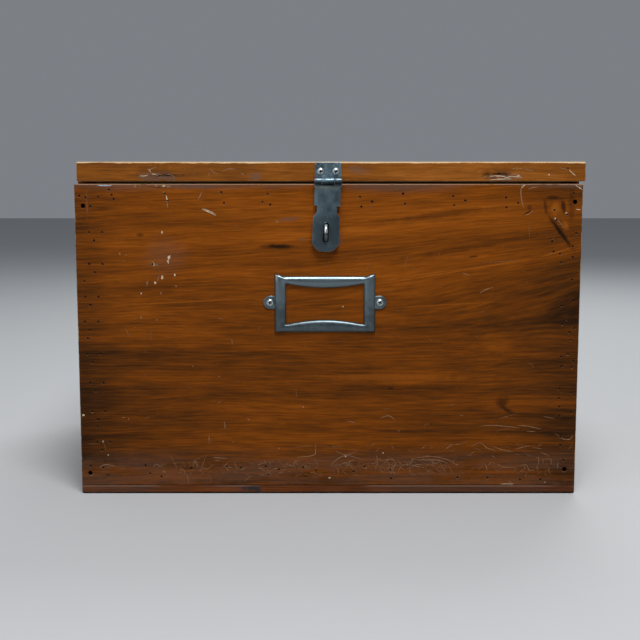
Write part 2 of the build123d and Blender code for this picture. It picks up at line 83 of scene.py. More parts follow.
class StageSettings(PropertyGroup):
    distance: length("Distance", "From the camera to the front", PHOTO_DISTANCE * MM)
    height: length("Camera height", "Height of the camera above the floor", PHOTO_HEIGHT * MM)
    aside: FloatProperty(
        name="Aside",
        description="Camera's place along the front",
        default=PHOTO_ASIDE * MM,
        unit="LENGTH",
    )
    pitch: FloatProperty(
        name="Pitch",
        description="How far the camera looks down",
        default=PHOTO_PITCH,
        subtype="ANGLE",
    )
    lens: amount("Lens", "Focal length in millimetres", 61.4)
    floor_colour: colour("Floor", "Pale floor", (0.46, 0.47, 0.48))
    sky_colour: colour("Surround", "Light from all round", (0.60, 0.64, 0.70))
    sky_strength: amount("Surround strength", "Soft light from all round", 0.34)
    key_power: amount("Key power", "Main soft light, in watts", 50.0)


class WoodSettings(PropertyGroup):
    figure: colour("Dark figure", "Darkest figure of the stained wood", (0.0240, 0.0088, 0.0022))
    late: colour("Late wood", "Dark lines of the stained wood", (0.0685, 0.0205, 0.0028))
    stain: colour("Stain", "Most of the stained wood", (0.1384, 0.0360, 0.0026))
    early: colour("Early wood", "Light bands of the stained wood", (0.2159, 0.0550, 0.0030))
    amber: colour("Amber", "Lightest streaks of the stained wood", (0.3140, 0.0850, 0.0060))
    worn: colour("Worn arris", "Wood with its stain rubbed off", (0.5900, 0.4000, 0.2100))
    dusty: colour("Dusty wear", "Grey-purple rubbed finish", (0.1300, 0.0780, 0.0560))
    pale: colour("Pale scratch", "Scratch down to pale wood", (0.5000, 0.3800, 0.2650))
    tan: colour("Tan scratch", "Shallower scratch", (0.2300, 0.1350, 0.0760))
    faint: colour("Faint scratch", "Scratch in the finish alone", (0.1700, 0.0830, 0.0400))
    # Painted reflection of the sky, laid as a chip on the front's rim.
    blue: colour("Chipped rim", "Chip that mirrors the sky", (0.3700, 0.4600, 0.5700))
    rust: colour("Rust stain", "Dark wood round an iron nail", (0.0110, 0.0065, 0.0045))
    tarnish: colour("Tarnish", "Blue-black stain on the base board", (0.0130, 0.0160, 0.0210))
    # Painted contact shadow along the lowest edges of the base board.
    dirt: colour("Floor dirt", "Dirt along the lowest edges", (0.0040, 0.0032, 0.0028))
    bare: colour("Bare wood", "Unstained wood inside", (0.4200, 0.2400, 0.1050))
    roughness: amount("Roughness", "Of the old finish", 0.46)


class HolderSettings(PropertyGroup):
    width: length("Width", "Width of the label holder's frame", 95.0 * MM)
    height: length("Height", "Height of the label holder's frame", 53.2 * MM)
    relief: length("Relief", "How far its bars stand out", 3.4 * MM)
    brim: length("Brim", "Thickness of the sheet at the bars' edges", 0.3 * MM)
    side_bar: length("Side bar", "Width of the side bars", 10.9 * MM)
    top_bar: length("Top bar", "Width of the top bar at its ends", 7.4 * MM)
    top_bow: length("Top bow", "How far the top bar bows down", 3.7 * MM)
    bottom_bar: length("Bottom bar", "Width of the bottom bar at its ends", 7.7 * MM)
    bottom_bow: length("Bottom bow", "How far the bottom bar bows up", 4.2 * MM)
    horn_width: length("Horn width", "Width of the horns on the top corners", 7.0 * MM)
    horn_rise: length("Horn rise", "How far the horns stand above the frame", 1.9 * MM)
    ear_radius: length("Ear radius", "Radius of the two screw ears", 6.3 * MM)
    ear_reach: length("Ear reach", "From the frame's side to an ear's screw", 4.4 * MM)
    ear_rise: length("Ear rise", "How far the screws lie above the middle", 1.7 * MM)
    ear_thick: length("Ear thickness", "Thickness of the ears", 1.2 * MM)


class ScrewSettings(PropertyGroup):
    radius: length("Head radius", "Radius of a cross-head screw's head", 3.35 * MM)
    brim: length("Brim", "Height of the head's straight side", 0.5 * MM)
    height: length("Height", "Height of the head in all", 2.0 * MM)
    depth: length("Recess depth", "How deep the cross is", 1.6 * MM)
    arm: length("Recess arm", "From the middle to the end of the cross", 2.8 * MM)
    shank_radius: length("Shank radius", "Radius of the screw in the wood", 1.6 * MM)
    shank_length: length("Shank length", "Length of the screw in the wood", 14.5 * MM)


class MetalSettings(PropertyGroup):
    strap: colour("Strap steel", "Smooth blue-grey steel", (0.1000, 0.1440, 0.1680))
    leaf: colour("Leaf steel", "Mottled grey steel", (0.1350, 0.1980, 0.2350))
    holder: colour("Label holder", "Dull grey steel", (0.1150, 0.1500, 0.1640))
    screw: colour("Screw steel", "Bright screw heads", (0.4200, 0.4700, 0.4800))
    # Painted shade in the cross recess of a screw.
    recess: colour("Screw recess", "Dirt in the cross of a screw", (0.0120, 0.0140, 0.0160))
    iron: colour("Nail iron", "Dark nail heads", (0.0040, 0.0032, 0.0028))
    # Painted shadow under the hasp's knuckles.
    knuckle_shadow: colour("Grease", "Black dirt under the hasp's knuckles", (0.0060, 0.0070, 0.0080))
    # Dust with a painted warm reflection in the bends of the hasp.
    dust_and_warm_reflection: colour("Dust", "Dust in the bends of the hasp", (0.1600, 0.1500, 0.1100))
    edge_width: length("Edge", "Softened edge of the sheet metal", 0.35 * MM)


# How many millimetres of the front one pixel shows
PIXEL = 0.95

# The views on which the wear was noted: the photograph's pixel at a view's upper left
# corner, and how many times the view is enlarged
VIEWS = {
    "photo": (0, 0, 1.0),
    "upper left": (60, 152, 7.84),
    "upper right": (400, 152, 7.84),
    "lower left": (60, 400, 5.807),
    "lower right": (320, 400, 5.807),
}


def on_board(view, point):
    """The millimetres across the front and up from the floor of a point noted on a view."""
    if view == "board":
        return point
    left, top, times = VIEWS[view]
    x = (left + point[0] / times - PHOTO_MIDDLE[0]) / PHOTO_FOCUS
    y = (top + point[1] / times - PHOTO_MIDDLE[1]) / PHOTO_FOCUS
    down, ahead = sin(PHOTO_PITCH), cos(PHOTO_PITCH)
    reach = PHOTO_DISTANCE / (ahead - y * down)
    across, up = PHOTO_ASIDE + reach * x, PHOTO_HEIGHT - reach * (down + y * ahead)
    return round(across, 1), round(up, 1)


def size_on_board(view, size):
    """The millimetres of a half size noted in the photograph's pixels."""
    return size if view == "board" else [round(c * PIXEL, 1) for c in size]


def noted(table):
    """Each row of a wear table, with its view."""
    return [(view, row) for view, rows in table for row in rows]


# Wear, listed by view; what is noted on the board itself is in millimetres.  A
# scratch is a tone, a width in millimetres and its points; a speck is a tone, a centre and its half
# sizes; a stain is a tint, a centre, half sizes, a turn in degrees and a strength.
# Among these marks, one scratch on the front's rim is a painted reflection of the sky, and two
# black lines on the lid are painted shadow in its dents.
FRONT_SCRATCHES = (
    ("upper left", (
        ("pale", 1.0, (1113, 450), (1222, 500)),
        ("pale", 0.6, (1128, 447), (1218, 488)),
        ("pale", 1.5, (834, 345), (838, 372), (838, 395)),
        ("tan", 0.8, (838, 395), (841, 420), (842, 442)),
        ("tan", 0.7, (1112, 318), (1080, 384)),
        ("faint", 0.5, (1120, 300), (1092, 345)),
        ("faint", 0.6, (203, 300), (211, 420), (210, 540)),
        ("faint", 0.5, (1385, 575), (1383, 610)),
    )),
    ("board", (
        ("tan", 0.8, (-156.9, 295.1), (-153.4, 293.7), (-149.8, 295.4)),
        ("tan", 0.8, (-151.3, 295.6), (-149.7, 292.7)),
        # painted reflection of the sky on the rim
        ("blue", 1.0, (-215.4, 295.5), (-209.1, 295.1), (-202.4, 295.3)),
        ("tan", 0.6, (-176.5, 294.3), (-174.1, 295.7)),
        ("tan", 1.1, (180.8, 295.7), (179.3, 291.2), (179.9, 282.9), (182.3, 274.7)),
        ("pale", 1.0, (179.4, 293.4), (180.8, 295.0), (183.5, 295.7)),
    )),
    ("upper right", (
        ("tan", 0.9, (1005, 293), (1040, 282), (1082, 280)),
        ("pale", 1.0, (1382, 452), (1416, 455)),
        ("pale", 0.9, (1375, 262), (1405, 282), (1432, 300)),
    )),
    ("board", (
        ("tan", 0.8, (231.9, 295.6), (236.2, 294.4)),
    )),
    ("upper right", (
        ("tan", 0.7, (1400, 282), (1400, 262)),
        ("tan", 0.7, (1215, 520), (1250, 552), (1290, 603)),
        ("faint", 0.5, (1010, 560), (1016, 680)),
        ("tan", 0.6, (975, 495), (1010, 492), (1040, 462)),
        ("faint", 0.5, (60, 820), (35, 915)),
        ("faint", 0.5, (640, 872), (800, 862), (930, 850)),
    )),
    ("lower left", (
        ("tan", 1.0, (955, 128), (959, 172)),
        ("tan", 0.6, (866, 208), (865, 258)),
        ("faint", 0.5, (882, 230), (876, 256)),
        ("tan", 0.7, (1486, 250), (1484, 300), (1480, 320), (1440, 330), (1378, 336)),
        ("faint", 0.5, (1500, 268), (1568, 273), (1640, 270)),
        ("faint", 0.5, (1370, 276), (1462, 268)),
        ("tan", 0.7, (228, 400), (250, 381), (285, 379), (322, 390)),
        ("tan", 0.7, (888, 336), (930, 340), (972, 342)),
        ("faint", 0.5, (160, 257), (232, 260)),
        ("faint", 0.5, (250, 245), (268, 292)),
        ("faint", 0.5, (640, 325), (662, 362), (680, 402)),
        ("faint", 0.5, (706, 372), (694, 450)),
        ("tan", 0.5, (738, 428), (748, 484)),
        ("tan", 0.5, (850, 322), (826, 392), (858, 402), (892, 378)),
        ("tan", 0.5, (946, 385), (1002, 396)),
        ("tan", 0.5, (1012, 366), (1032, 412)),
        ("tan", 0.5, (1036, 396), (1058, 408), (1086, 388)),
        ("faint", 0.5, (868, 440), (880, 484)),
        ("tan", 0.5, (1070, 472), (1112, 444)),
        ("tan", 0.6, (1145, 380), (1195, 366)),
        ("tan", 0.5, (540, 392), (560, 374), (582, 390), (600, 372)),
        ("faint", 0.5, (770, 352), (840, 330)),
        ("tan", 0.5, (768, 388), (784, 352), (800, 400)),
    )),
    ("lower right", (
        ("tan", 0.7, (158, 124), (205, 135)),
        ("tan", 0.6, (350, 108), (400, 94), (440, 122)),
        ("faint", 0.5, (368, 56), (412, 52)),
        ("tan", 0.6, (812, 92), (832, 91)),
        ("faint", 0.6, (755, 34), (782, 28)),
        ("tan", 0.6, (930, 156), (1000, 150), (1100, 158), (1160, 166)),
        ("tan", 0.6, (1150, 150), (1220, 158), (1285, 172)),
        ("faint", 0.5, (1020, 188), (1110, 160)),
        ("faint", 0.5, (1040, 110), (1140, 84)),
        ("tan", 0.6, (1200, 184), (1252, 187)),
        ("tan", 0.6, (1300, 99), (1362, 110)),
        ("tan", 0.8, (1388, 218), (1420, 232), (1452, 230), (1470, 208)),
        ("faint", 0.6, (1440, 292), (1470, 258)),
        ("faint", 0.5, (1360, 195), (1400, 218)),
        ("tan", 0.5, (585, 292), (612, 268)),
        ("tan", 0.6, (732, 284), (768, 264)),
        ("tan", 0.6, (880, 272), (930, 250), (970, 282), (1022, 296)),
        ("tan", 0.6, (1000, 270), (1060, 292), (1122, 305)),
        ("tan", 0.5, (1130, 290), (1180, 276), (1222, 270)),
        ("tan", 0.5, (1235, 280), (1292, 286)),
        ("tan", 0.6, (60, 382), (110, 340), (160, 326), (240, 346)),
        ("tan", 0.5, (90, 300), (150, 322), (215, 300)),
        ("tan", 0.5, (68, 384), (140, 372), (200, 350)),
        ("tan", 0.5, (326, 320), (334, 360), (320, 402)),
        ("tan", 0.7, (376, 350), (420, 346), (440, 372), (410, 404), (382, 390)),
        ("tan", 0.7, (528, 346), (600, 352), (680, 352), (742, 370)),
        ("tan", 0.6, (540, 340), (640, 332), (730, 346), (800, 384)),
        ("tan", 0.6, (440, 384), (520, 380), (606, 398)),
        ("tan", 0.5, (455, 350), (470, 380), (455, 420)),
        ("tan", 0.5, (500, 404), (560, 380), (600, 376)),
        ("faint", 0.5, (120, 412), (166, 440)),
        ("tan", 0.6, (1028, 372), (1060, 392), (1130, 396)),
        ("tan", 0.5, (1250, 342), (1272, 340), (1266, 388)),
        ("tan", 0.5, (1284, 346), (1342, 346), (1340, 376)),
        ("tan", 0.5, (1296, 346), (1294, 372)),
        ("tan", 0.5, (1384, 360), (1380, 404)),
        ("tan", 0.6, (1160, 384), (1200, 380), (1216, 412), (1250, 408)),
        ("faint", 0.5, (0, 268), (60, 272), (110, 280)),
        ("tan", 0.5, (296, 270), (322, 252)),
        ("faint", 0.5, (700, 256), (800, 262), (860, 240)),
        ("pale", 0.7, (1050, 491), (1090, 490), (1124, 490)),
        ("tan", 0.5, (1095, 474), (1118, 486)),
        ("tan", 0.5, (1100, 503), (1120, 492)),
    )),
    ("photo", (
        ("tan", 0.7, (462, 273.5), (470, 276)),
        ("tan", 0.8, (480, 293.5), (486, 290), (493, 288)),
        ("tan", 0.7, (231.8, 339.5), (232.2, 345)),
        ("faint", 0.5, (296, 389), (296.5, 398)),
        ("faint", 0.6, (151, 330), (151, 341)),
        ("tan", 0.8, (247, 419), (250, 421)),
        ("tan", 0.6, (217, 404), (221, 401.5)),
        ("tan", 0.7, (159, 276), (157, 282)),
        ("tan", 0.7, (148, 281), (146.5, 287)),
        ("faint", 0.6, (125, 329), (130, 337)),
        ("tan", 0.5, (144, 420), (149, 417)),
    )),
)
LID_SCRATCHES = (
    ("upper left", (
        ("pale", 0.9, (688, 140), (712, 162)),
        ("tan", 0.7, (700, 150), (730, 128), (762, 122)),
        ("pale", 0.9, (622, 190), (655, 192), (692, 186)),
        ("tan", 0.7, (640, 176), (742, 172), (800, 182)),
        ("tan", 0.6, (600, 200), (640, 196), (700, 200)),
        ("pale", 0.6, (705, 172), (770, 186)),
        ("tan", 0.6, (636, 180), (636, 212)),
        ("tan", 0.6, (655, 196), (657, 214)),
        ("tan", 0.6, (800, 186), (850, 180), (886, 190), (898, 212)),
        ("tan", 0.6, (1172, 130), (1200, 160), (1240, 174)),
        ("tan", 0.7, (1168, 160), (1166, 194)),
        ("tan", 0.6, (1262, 156), (1320, 136), (1382, 136)),
        ("tan", 0.7, (1415, 160), (1446, 188)),
        ("faint", 0.6, (1052, 150), (1048, 196)),
        ("faint", 0.6, (960, 110), (984, 150)),
    )),
    ("upper right", (
        ("tan", 0.7, (878, 140), (910, 130), (962, 134)),
        ("tan", 0.7, (978, 140), (1010, 142), (1042, 156)),
        ("tan", 0.7, (1248, 124), (1280, 134), (1312, 138)),
        ("pale", 0.9, (1326, 142), (1350, 166), (1380, 192)),
        ("pale", 0.9, (704, 196), (760, 190), (830, 196)),
        ("pale", 0.9, (820, 206), (880, 196), (956, 200)),
        ("pale", 0.8, (700, 222), (780, 216), (880, 214)),
        ("tan", 0.7, (890, 220), (930, 208), (958, 214)),
        ("tan", 0.7, (860, 190), (900, 178), (950, 184)),
        ("tan", 0.6, (690, 206), (720, 176)),
        ("tan", 0.6, (640, 208), (690, 190)),
    )),
)
FRONT_SPECKS = (
    ("board", (
        ("pale", (-153.4, 294.9), (1.8, 0.9)),
        ("tan", (-180.4, 294.4), (1.2, 1.3)),
        ("tan", (-160.6, 294.9), (2.2, 0.9)),
        ("tan", (-148.6, 294.6), (2.2, 1.0)),
    )),
    ("upper left", (
        ("pale", (800, 630), (1.2, 1.8)),
        ("tan", (815, 320), (1.2, 1.2)),
        ("pale", (728, 884), (2.0, 2.6)),
        ("tan", (756, 890), (1.4, 1.4)),
        ("pale", (852, 832), (1.7, 3.0)),
        ("tan", (468, 800), (1.2, 1.6)),
        ("tan", (518, 810), (0.8, 0.8)),
    )),
    ("photo", (
        ("pale", (168, 262), (1.2, 2.4)),
        ("pale", (162, 277.5), (1.3, 2.4)),
        ("tan", (152.5, 264.5), (1.8, 2.2)),
        ("pale", (155, 283), (1.5, 1.5)),
        ("tan", (147, 283.5), (1.0, 1.8)),
        ("pale", (174.5, 275.5), (1.1, 1.5)),
        ("tan", (176, 286.5), (0.9, 1.3)),
        ("pale", (141, 294), (1.2, 1.2)),
        ("tan", (161, 293.5), (0.9, 1.5)),
        ("tan", (124, 261), (0.9, 0.9)),
        ("tan", (141, 318), (0.9, 1.6)),
        ("tan", (157, 320.5), (1.2, 1.0)),
        ("tan", (277, 222), (2.6, 1.2)),
    )),
    ("lower left", (
        ("tan", (1005, 247), (1.1, 0.9)),
        ("pale", (1412, 43), (0.8, 0.8)),
        ("pale", (213, 157), (0.8, 0.8)),
        ("tan", (1273, 283), (0.9, 0.7)),
        ("pale", (280, 322), (0.9, 0.7)),
        ("tan", (370, 105), (1.6, 0.8)),
        ("tan", (398, 113), (0.8, 0.8)),
        ("pale", (135, 92), (1.6, 1.2)),
        ("pale", (250, 245), (0.9, 0.9)),
        ("pale", (185, 77), (0.8, 0.6)),
    )),
    ("lower right", (
        ("pale", (55, 455), (1.4, 0.9)),
        ("pale", (1305, 480), (0.8, 0.6)),
        ("tan", (458, 182), (1.0, 0.5)),
        ("pale", (366, 312), (0.7, 0.9)),
    )),
    ("upper right", (
        ("pale", (1305, 482), (1.4, 0.9)),
        ("tan", (1210, 445), (1.0, 0.8)),
        ("pale", (1218, 525), (1.2, 0.9)),
    )),
    ("board", (
        ("pale", (180.8, 294.4), (1.3, 1.3)),
    )),
    ("photo", (
        ("tan", (193, 367), (0.9, 0.9)),
        ("tan", (219, 377), (1.0, 1.0)),
        ("pale", (343, 307), (0.8, 0.8)),
        ("pale", (345.5, 457), (0.8, 0.8)),
    )),
)
LID_SPECKS = (
    ("upper left", (
        ("pale", (700, 146), (1.4, 1.2)),
    )),
    ("upper right", (
        ("pale", (1168, 182), (0.9, 1.0)),
        ("tan", (770, 198), (3.0, 0.9)),
        ("pale", (930, 190), (1.6, 0.9)),
    )),
)
FRONT_STAINS = (
    ("photo", (
        ("dark", (279, 247), (21.6, 3.5), 0, 1.0),
        ("dark", (140, 235.5), (4.5, 2.6), 0, 0.45),
        ("dark", (502, 403), (8.4, 8), 0, 0.55),
        ("dark", (508, 411), (9.05, 3.2), -25, 0.6),
        ("dark", (116, 436), (36, 2.2), 0, 0.45),
        ("dark", (400, 388.5), (85, 3.2), 0, 0.3),
        ("dark", (391, 389), (4.5, 2), 0, 0.5),
        ("dark", (159, 187.7), (13, 1.5), 0, 0.5),
        ("dark", (211, 200.5), (14, 1.2), 0, 0.35),
        ("dark", (473.5, 257.2), (6, 1.2), 7, 0.6),
        ("dark", (440, 215), (66, 4.2), 7, 0.36),
        ("dark", (462, 249), (84, 3.6), 10, 0.36),
        ("dark", (500, 262), (60, 2.2), 9, 0.25),
        ("dark", (553.5, 198), (8, 2.4), 3, 0.6),
        ("dark", (563.6, 207), (2.6, 8), 12, 0.65),
        ("dark", (545.5, 207), (2.2, 9), 8, 0.5),
        ("dark", (560, 232), (23, 3.0), -53, 0.8),
        ("dark", (572, 205), (4, 22), 0, 0.35),
        ("dark", (529.5, 208), (2.8, 3.6), 0, 0.4),
        ("dark", (527.5, 213), (5.5, 1.2), 28, 0.7),
        ("light", (555.5, 209), (5, 8), 0, 0.5),
        ("light", (566, 226), (3.6, 6), 30, 0.45),
        ("light", (390, 378), (95, 4.5), 0, 0.3),
        ("light", (462, 271), (82, 1.0), 9.5, 0.55),
        ("light", (557, 252.5), (20, 1.0), 17, 0.5),
        ("light", (185, 302.5), (88, 1.0), 3, 0.45),
        ("light", (450, 305), (70, 0.9), 3, 0.3),
        ("light", (250, 215), (60, 5), 0, 0.2),
        ("grey", (289, 219.5), (13, 2.4), 5, 0.35),
        ("grey", (302, 240), (4.5, 2), 0, 0.35),
        ("grey", (340, 240), (4, 7), 0, 0.25),
        ("grey", (165, 256), (26, 22), 0, 0.16),
        ("dark", (316, 306), (24, 1.6), 4, 0.35),
        ("dark", (325, 309), (18, 1.2), -3, 0.3),
    )),
)
LID_STAINS = (
    ("board", (
        ("grey", (-68.5, 304.0), (10.0, 5.0), 0, 0.55),
        ("grey", (26.4, 309.5), (14.0, 6.0), 0, 0.5),
        ("grey", (-159.2, 303.0), (22.0, 6.0), 0, 0.75),
        ("grey", (163.3, 303.5), (20.0, 6.2), 0, 0.7),
        ("brown", (156.0, 306.0), (26.0, 8.5), 0, 0.5),
        ("brown", (-164.0, 308.0), (26.0, 8.0), 0, 0.35),
        # Painted shadow: the next two black lines are the shade in two dents along the lid's front
        # edge.
        ("black", (158.0, 306.0), (17.5, 1.7), 0, 1.0),
        ("black", (-151.0, 304.8), (16.0, 1.4), 0, 1.0),
        ("black", (222.9, 311.2), (2.2, 1.2), 0, 1.0),
    )),
)
FOOT_STAINS = (
    ("board", (
        ("tarnish", (-74.6, 5.0), (14.0, 6.0), 0, 1.0),
        ("tarnish", (-186.0, 6.0), (6.0, 2.0), 0, 1.0),
    )),
)


# Shader expressions


def arithmetic(operation, swapped=False, clamp=False):
    """A Signal's method that adds one Math node, with the signal as its first or second value."""

    def method(self, other=0.0):
        first, second = (other, self) if swapped else (self, other)
        settings = {"operation": operation, "use_clamp": clamp}
        return self.shader.node("ShaderNodeMath", settings, {0: first, 1: second})

    return method


class Signal:
    """A shader socket that can be used in sums and products."""

    def __init__(self, shader, socket):
        self.shader = shader
        self.socket = socket

    __add__ = arithmetic("ADD")
    __radd__ = arithmetic("ADD", swapped=True)
    __sub__ = arithmetic("SUBTRACT")
    __rsub__ = arithmetic("SUBTRACT", swapped=True)
    __mul__ = arithmetic("MULTIPLY")
    __rmul__ = arithmetic("MULTIPLY", swapped=True)
    __truediv__ = arithmetic("DIVIDE")
    __pow__ = arithmetic("POWER")
    __abs__ = arithmetic("ABSOLUTE")
    least = arithmetic("MINIMUM")
    most = arithmetic("MAXIMUM")
    clamped = arithmetic("ADD", clamp=True)


class Shader:
    """A material and the nodes of its finish."""

    def __init__(self, name):
        self.material = bpy.data.materials.new(name)
        self.material.use_nodes = True
        self.tree = self.material.node_tree
        self.tree.nodes.clear()
        self.place = self.node("ShaderNodeTexCoord", {}, {}, "Object")
        parts = self.node("ShaderNodeSeparateXYZ", {}, {0: self.place}, None)
        self.x = Signal(self, parts.outputs[0])
        self.y = Signal(self, parts.outputs[1])
        self.z = Signal(self, parts.outputs[2])

    def node(self, kind, settings, inputs, output=0):
        """A node with its settings made and its sockets filled: its wanted output, or itself."""
        made = self.tree.nodes.new(kind)
        for name, value in settings.items():
            if name == "stops":
                ramp = made.color_ramp
                while len(ramp.elements) < len(value):
                    ramp.elements.new(0.5)
                for element, (place, tint) in zip(ramp.elements, value):
                    element.position = place
                    element.color = (*tint, 1.0)
            else:
                setattr(made, name, value)
        for key, value in inputs.items():
            if isinstance(value, Signal):
                self.tree.links.new(value.socket, made.inputs[key])
            else:
                made.inputs[key].default_value = value
        return made if output is None else Signal(self, made.outputs[output])

    def stretched(self, vector, scale, shift=(0, 0, 0)):
        return self.node(
            "ShaderNodeMapping", {}, {"Vector": vector, "Scale": scale, "Location": shift}
        )

    def joined(self, x, y, z):
        return self.node("ShaderNodeCombineXYZ", {}, {0: x, 1: y, 2: z})

    def noise(self, vector, scale=1.0, detail=2.0, roughness=0.5):
        values = {"Vector": vector, "Scale": scale, "Detail": detail, "Roughness": roughness}
        return self.node("ShaderNodeTexNoise", {}, values)

    def varied(self, scale, detail=3.0, roughness=0.6, shift=(0, 0, 0)):
        """Noise over the object, with its own scale along each axis."""
        return self.noise(self.stretched(self.place, scale, shift), 1.0, detail, roughness)

    def step(self, value, low, high, start=0.0, end=1.0):
        """A smooth step from start at low to end at high."""
        return self.node(
            "ShaderNodeMapRange",
            {"interpolation_type": "SMOOTHSTEP"},
            {0: value, 1: low, 2: high, 3: start, 4: end},
        )

    def ramp(self, value, stops):
        return self.node("ShaderNodeValToRGB", {"stops": stops}, {0: value})

    def mix(self, factor, first, second):
        first, second = (c if isinstance(c, Signal) else (*c, 1.0) for c in (first, second))
        settings = {"data_type": "RGBA", "clamp_factor": True}
        return self.node("ShaderNodeMix", settings, {0: factor, 6: first, 7: second}, 2)

    def spot(self, across, up, centre, size, turn=0.0, ragged=0.0, soft=0.75):
        """1 inside an ellipse, falling to 0 at its rim; across and up are Signals in metres."""
        dx, dz = across - centre[0], up - centre[1]
        c, s = cos(radians(turn)), sin(radians(turn))
        long = (dx * c + dz * s) / size[0]
        wide = (dz * c - dx * s) / size[1]
        return self.step((long * long + wide * wide) ** 0.5 + ragged, 1.0, 1.0 - soft)

    def band(self, value, middle, half, ragged=0.0):
        """1 on a line of constant value, falling to 0 at half its width away."""
        return self.step(abs(value - middle) + ragged, half, half * 0.4)

    def finish(self, colour, roughness, metallic=0.0, bump=None, strength=0.0, depth=0.0, **fixed):
        """The surface itself; fixed values go straight on the shader's own sockets."""
        shader = self.node("ShaderNodeBsdfPrincipled", {}, {}, None)
        values = {"Base Color": colour, "Roughness": roughness, "Metallic": metallic}
        if bump is not None:
            values["Normal"] = self.node(
                "ShaderNodeBump", {}, {"Strength": strength, "Distance": depth, "Height": bump}
            )
        for key, value in values.items():
            if isinstance(value, Signal):
                self.tree.links.new(value.socket, shader.inputs[key])
            else:
                shader.inputs[key].default_value = value
        for key, value in fixed.items():
            shader.inputs[key.replace("_", " ")].default_value = value
        output = self.node("ShaderNodeOutputMaterial", {}, {}, None)
        self.tree.links.new(shader.outputs[0], output.inputs[0])
        return self.material


def shaded(tint, share):
    """A colour made darker or lighter."""
    return tuple(min(1.0, c * share) for c in tint)


# Wood


class Board:
    """How one board's grain runs and how it is worn."""

    # How much wider and stronger its stains are laid than they are noted
    wider = 1.0
    stronger = 1.0

    def __init__(self, node, along="X", seed=0.0, tone=0.0, warmth=(1.0, 1.0, 1.0), arris=0.6):
        self.node = node
        self.low, self.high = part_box(node)
        self.along = along
        self.seed = seed
        self.tone = tone
        self.warmth = warmth
        self.arris = arris

    def climb(self, s):
        """How far the grain has risen at a place, in metres."""
        return 0.0

    def shade(self, s):
        """What the board's light and dark parts add to its tone; on the front these are painted
        light and shade.
        """
        return 0.0

    def marks(self, s, tint, ragged):
        """Lays the board's own stains over its colour."""
        return tint

    def stained(self, s, tint, stains, tints, frayed, reach=1.0, soft=0.8):
        """Lays a table of stains over a colour, as far as they reach into the board."""
        for view, (kind, centre, size, turn, strength) in noted(stains):
            place = [c * MM for c in on_board(view, centre)]
            half = [c * self.wider * MM for c in size_on_board(view, size)]
            spot = s.spot(s.x, s.z, place, half, turn, frayed, soft)
            share = min(1.0, strength * self.stronger)
            tint = s.mix(spot * reach * share, tint, tints[kind])
        return tint

    def hairlines(self, s):
        """Where fine scratches lie in the finish; a mesh gives those of the front."""
        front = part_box("front_panel")[0].y
        return s.step(s.y, front + 1.0 * MM, front + 1.5 * MM)

    def rubbed(self, s):
        """Which of the board's arrises are rubbed."""
        return 0.8

    def bare(self, s):
        """Where the board was never stained."""
        return None

    def arrises(self, s, ragged):
        """1 along the board's edges, fading over the width of its arris with a ragged border."""
        near = [
            (b - a) / 2 - abs(value - (a + b) / 2)
            for value, a, b in zip((s.x, s.y, s.z), self.low, self.high)
        ]
        least = near[0].least(near[1]).least(near[2])
        most = near[0].most(near[1]).most(near[2])
        second = near[0] + near[1] + near[2] - least - most
        width = self.arris * MM
        return s.step(second + (ragged - 0.5) * width * 3, width, width * 0.3)


# The layers of the grain: how fast each changes along and across it, its detail and roughness, and
# how much it adds to the wood's tone
GRAIN = {
    "bands": (1.8, 62.0, 3.0, 0.5, 0.78),
    "figure": (9.0, 170.0, 2.0, 0.55, 0.28),
    "lines": (28.0, 640.0, 2.0, 0.6, 0.80),
    "flecks": (38.0, 260.0, 2.0, 0.6, 0.22),
    "smears": (20.0, 75.0, 3.0, 0.6, 0.30),
    "clouds": (5.0, 17.0, 3.0, 0.5, 0.60),
}
MIDDLE_TONE = 0.525


